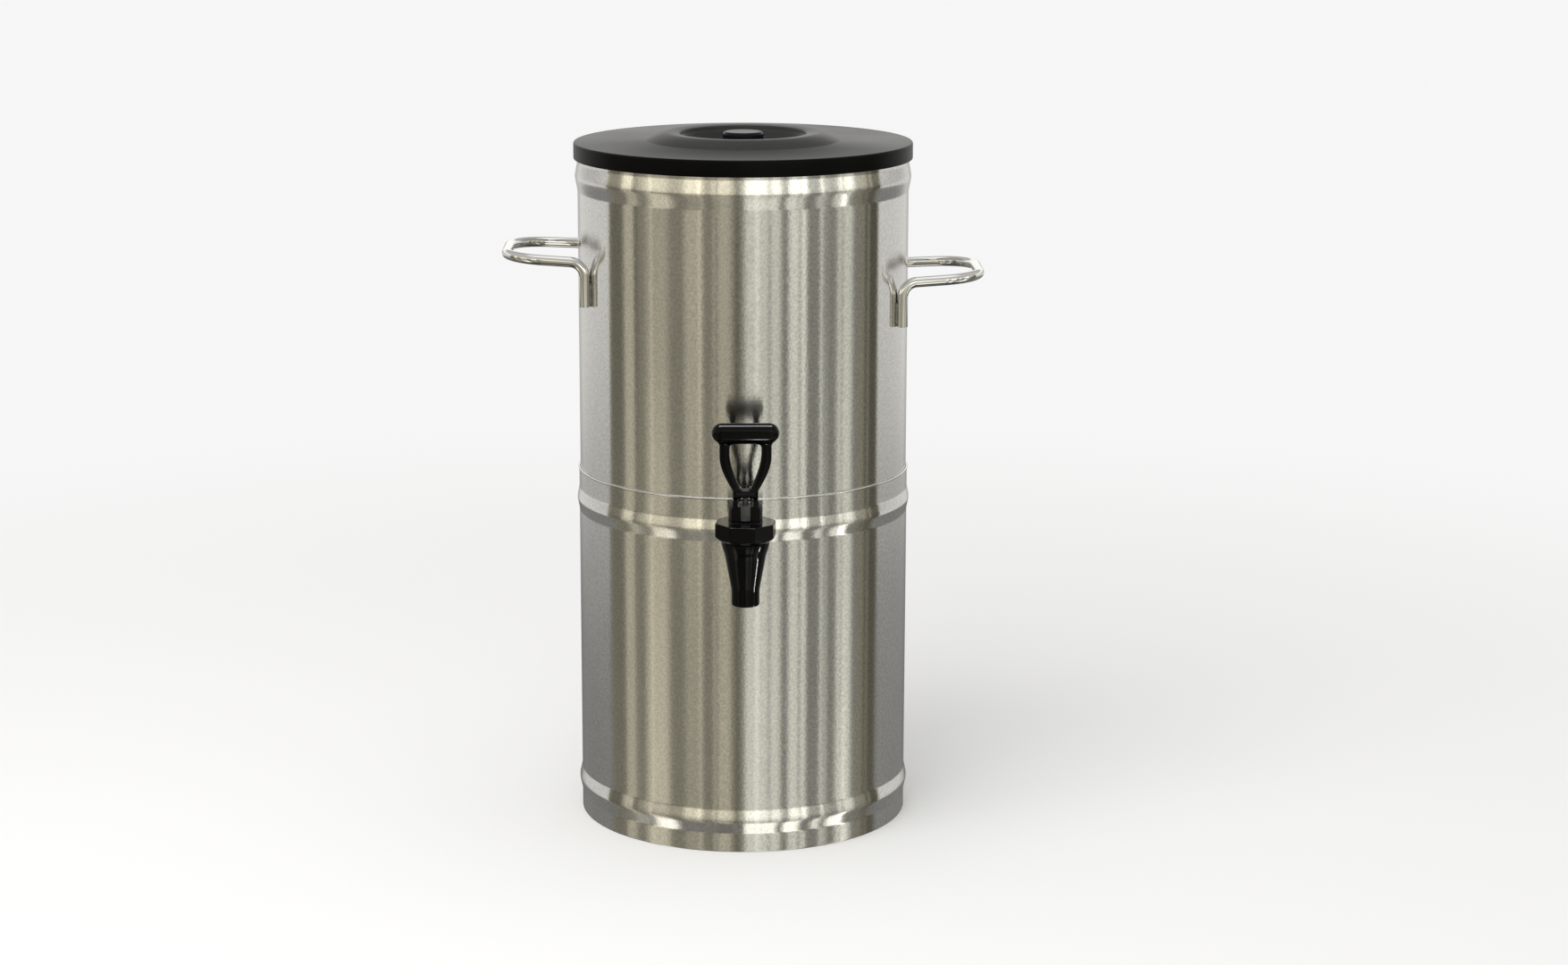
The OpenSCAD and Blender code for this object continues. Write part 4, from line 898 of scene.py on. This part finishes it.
def makeWorld():
    world = bpy.data.worlds.new("studioSurround")
    scene.world = world
    world.use_nodes = True
    tree = world.node_tree
    tree.nodes.clear()

    def ramp(value, key, fromValue=0.0, toValue=1.0):
        # passes from one value to the other between the two limits that the studio's settings give
        return softStep(tree, value, *studio[key], fromValue, toValue)

    def within(value, middle, near, wide):
        # 1 up to the distance near on both sides of the middle, 0 beyond wide
        away = mathNode(tree, "ABSOLUTE", mathNode(tree, "SUBTRACT", value, middle))
        return softStep(tree, away, near, wide, 1.0, 0.0)

    direction = addNode(tree, "ShaderNodeTexCoord").outputs["Generated"]
    x, y, z = addNode(tree, "ShaderNodeSeparateXYZ", {0: direction}).outputs
    azimuth = mathNode(tree, "DEGREES", mathNode(tree, "ARCTAN2", x, mathNode(tree, "MULTIPLY", y, -1.0)))
    elevation = mathNode(tree, "DEGREES", mathNode(tree, "ARCSINE", z))
    turn = mathNode(tree, "ABSOLUTE", azimuth)
    overTable = ramp(elevation, "underLow")
    overRoom = ramp(elevation, "lowHigh")
    level = studio["room"]
    for at, half, edge, (under, low, high) in panels:
        shown = within(azimuth, at, half - edge / 2, half + edge / 2)
        amount = mixed(tree, overRoom, mixed(tree, overTable, under, low), high)
        level = mathNode(tree, "MULTIPLY_ADD", shown, amount, level)
    level = mathNode(tree, "MULTIPLY", level, ramp(elevation, "rise", 1.0, studio["gain"]))
    # the far side, which the steel shows at its margins, and the part right behind
    far = ramp(turn, "farFrom")
    farLevel = ramp(elevation, "farLowHigh", *studio["farSide"])
    dip = within(elevation, studio["farDipAt"], *studio["farDipHalf"])
    farLevel = mixed(tree, dip, farLevel, studio["farDip"])
    farLevel = mixed(tree, ramp(elevation, "farStripFrom"), farLevel, studio["farStrip"])
    backLevel = ramp(elevation, "farLowHigh", *studio["backLow"])
    backLevel = mixed(tree, ramp(elevation, "backRise"), backLevel, studio["back"])
    farLevel = mixed(tree, ramp(turn, "backFrom"), farLevel, backLevel)
    farLevel = mixed(tree, overTable, studio["farTable"], farLevel)
    level = mixed(tree, far, level, farLevel)
    # a dark table further down and a lighter patch right below, which only rods and rounded edges show
    level = mixed(tree, ramp(elevation, "tableFrom", 1.0, 0.0), level, studio["table"])
    level = mixed(tree, ramp(elevation, "nadirFrom", 1.0, 0.0), level, studio["nadir"])
    inSky = ramp(elevation, "skyFrom")
    sky = ramp(turn, "farSkyFrom", studio["frontSky"], studio["farSky"])
    sky = mixed(tree, ramp(elevation, "topFrom"), sky, studio["top"])
    level = mixed(tree, inSky, level, sky)
    inPatch = mathNode(tree, "MULTIPLY", within(azimuth, patch["at"], *patch["across"]),
                       within(elevation, patch["up"], *patch["upwards"]))
    level = mathNode(tree, "MULTIPLY_ADD", inPatch, patch["level"], level)
    tint = tinted(tree, ramp(azimuth, "rightFrom"), studio["leftTint"], studio["rightTint"])
    tint = tinted(tree, ramp(azimuth, "rightTo"), tint, studio["leftTint"])
    tint = tinted(tree, far, tint, studio["farTint"])
    tint = tinted(tree, overTable, studio["tableTint"], tint)
    tint = tinted(tree, inSky, tint, studio["skyTint"])
    # the camera sees a plain backdrop, everything else the surround
    surround = addNode(tree, "ShaderNodeBackground", {"Color": tint, "Strength": level})
    plain = addNode(tree, "ShaderNodeBackground", {"Strength": studio["white"]})
    seen = addNode(tree, "ShaderNodeLightPath").outputs["Is Camera Ray"]
    chosen(tree, seen, surround, plain, "ShaderNodeOutputWorld")


def makeFloor():
    half = studio["floorSize"] / 2 / mm
    corners = half * np.array([[-1, -1, 0], [1, -1, 0], [1, 1, 0], [-1, 1, 0]])
    floor = newObject("floor", corners, np.array([[0, 1, 2, 3]]))
    material = bpy.data.materials.new("paleFloor")
    material.use_nodes = True
    tree = material.node_tree
    tree.nodes.clear()
    place = addNode(tree, "ShaderNodeTexCoord").outputs["Object"]
    away = addNode(tree, "ShaderNodeVectorMath", {0: place}, operation="LENGTH").outputs["Value"]
    fade = softStep(tree, away, *studio["fade"], 0.0, 1.0)  # to the camera, the far floor is plain white
    seen = addNode(tree, "ShaderNodeLightPath").outputs["Is Camera Ray"]
    matte = addNode(tree, "ShaderNodeBsdfDiffuse", {"Color": studio["floorColour"]})
    plain = addNode(tree, "ShaderNodeEmission", {"Strength": studio["white"]})
    chosen(tree, mathNode(tree, "MULTIPLY", fade, seen), matte, plain, "ShaderNodeOutputMaterial")
    floor.data.materials.append(material)
    floor.visible_glossy = False  # the steel shows the surround instead


lamp = {"place": (-0.9, -1.3, 2.1), "aim": (0, 0, 0.3), "size": (2.0, 2.0), "power": 31.0}
# lamps that only pieces of the faucet show, as thin bright lines: along the grip's top and on upper edges,
# under the grip's right half, and down the spout's right side
glints = [
    {"on": ("faucetBonnet", "faucetLever"), "place": (0, 0.23, 2.29), "aim": (0, -0.19, 0.33),
     "size": (1.6, 0.5), "power": 85.0},
    {"on": ("faucetLever",), "place": (0.016, -0.47, 0.075), "aim": (0, -0.19, 0.325),
     "size": (0.014, 0.03), "power": 0.12},
    {"on": ("faucetBody",), "place": (0.292, -0.238, 0.064), "aim": (0, -0.171, 0.23),
     "size": (0.012, 0.055), "power": 0.27},
]


def addLamp(name, settings):
    data = bpy.data.lights.new(name, "AREA")
    data.shape = "RECTANGLE"
    data.size, data.size_y = settings["size"]
    data.energy = settings["power"]
    light = bpy.data.objects.new(name, data)
    scene.collection.objects.link(light)
    light.location = settings["place"]
    towards = Vector(settings["aim"]) - light.location
    light.rotation_euler = towards.to_track_quat("-Z", "Y").to_euler()
    return light


def makeLamps():
    softLamp = addLamp("softLamp", lamp)
    softLamp.visible_glossy = False  # it only lights the floor and the dull parts
    for number, glint in enumerate(glints):
        light = addLamp(f"glint{number}", glint)
        light.visible_camera = False
        shown = bpy.data.collections.new(f"shownGlint{number}")
        for name in glint["on"]:
            shown.objects.link(bpy.data.objects[name])
        light.light_linking.receiver_collection = shown


view = {"distance": 2.4243, "high": 0.7961, "aroundDeg": -0.582, "downDeg": 12.507, "sensor": 36.0,
        "lens": 73.296, "shiftX": 0.0261}


def makeCamera():
    data = bpy.data.cameras.new("camera")
    data.sensor_width, data.lens, data.shift_x = view["sensor"], view["lens"], view["shiftX"]
    camera = bpy.data.objects.new("camera", data)
    scene.collection.objects.link(camera)
    around, away = math.radians(view["aroundDeg"]), view["distance"]
    camera.location = (away * math.sin(around), -away * math.cos(around), view["high"])
    camera.rotation_euler = (math.radians(90 - view["downDeg"]), 0, around)
    scene.camera = camera


makeWorld()
makeFloor()
makeLamps()
makeCamera()
print("studio made")
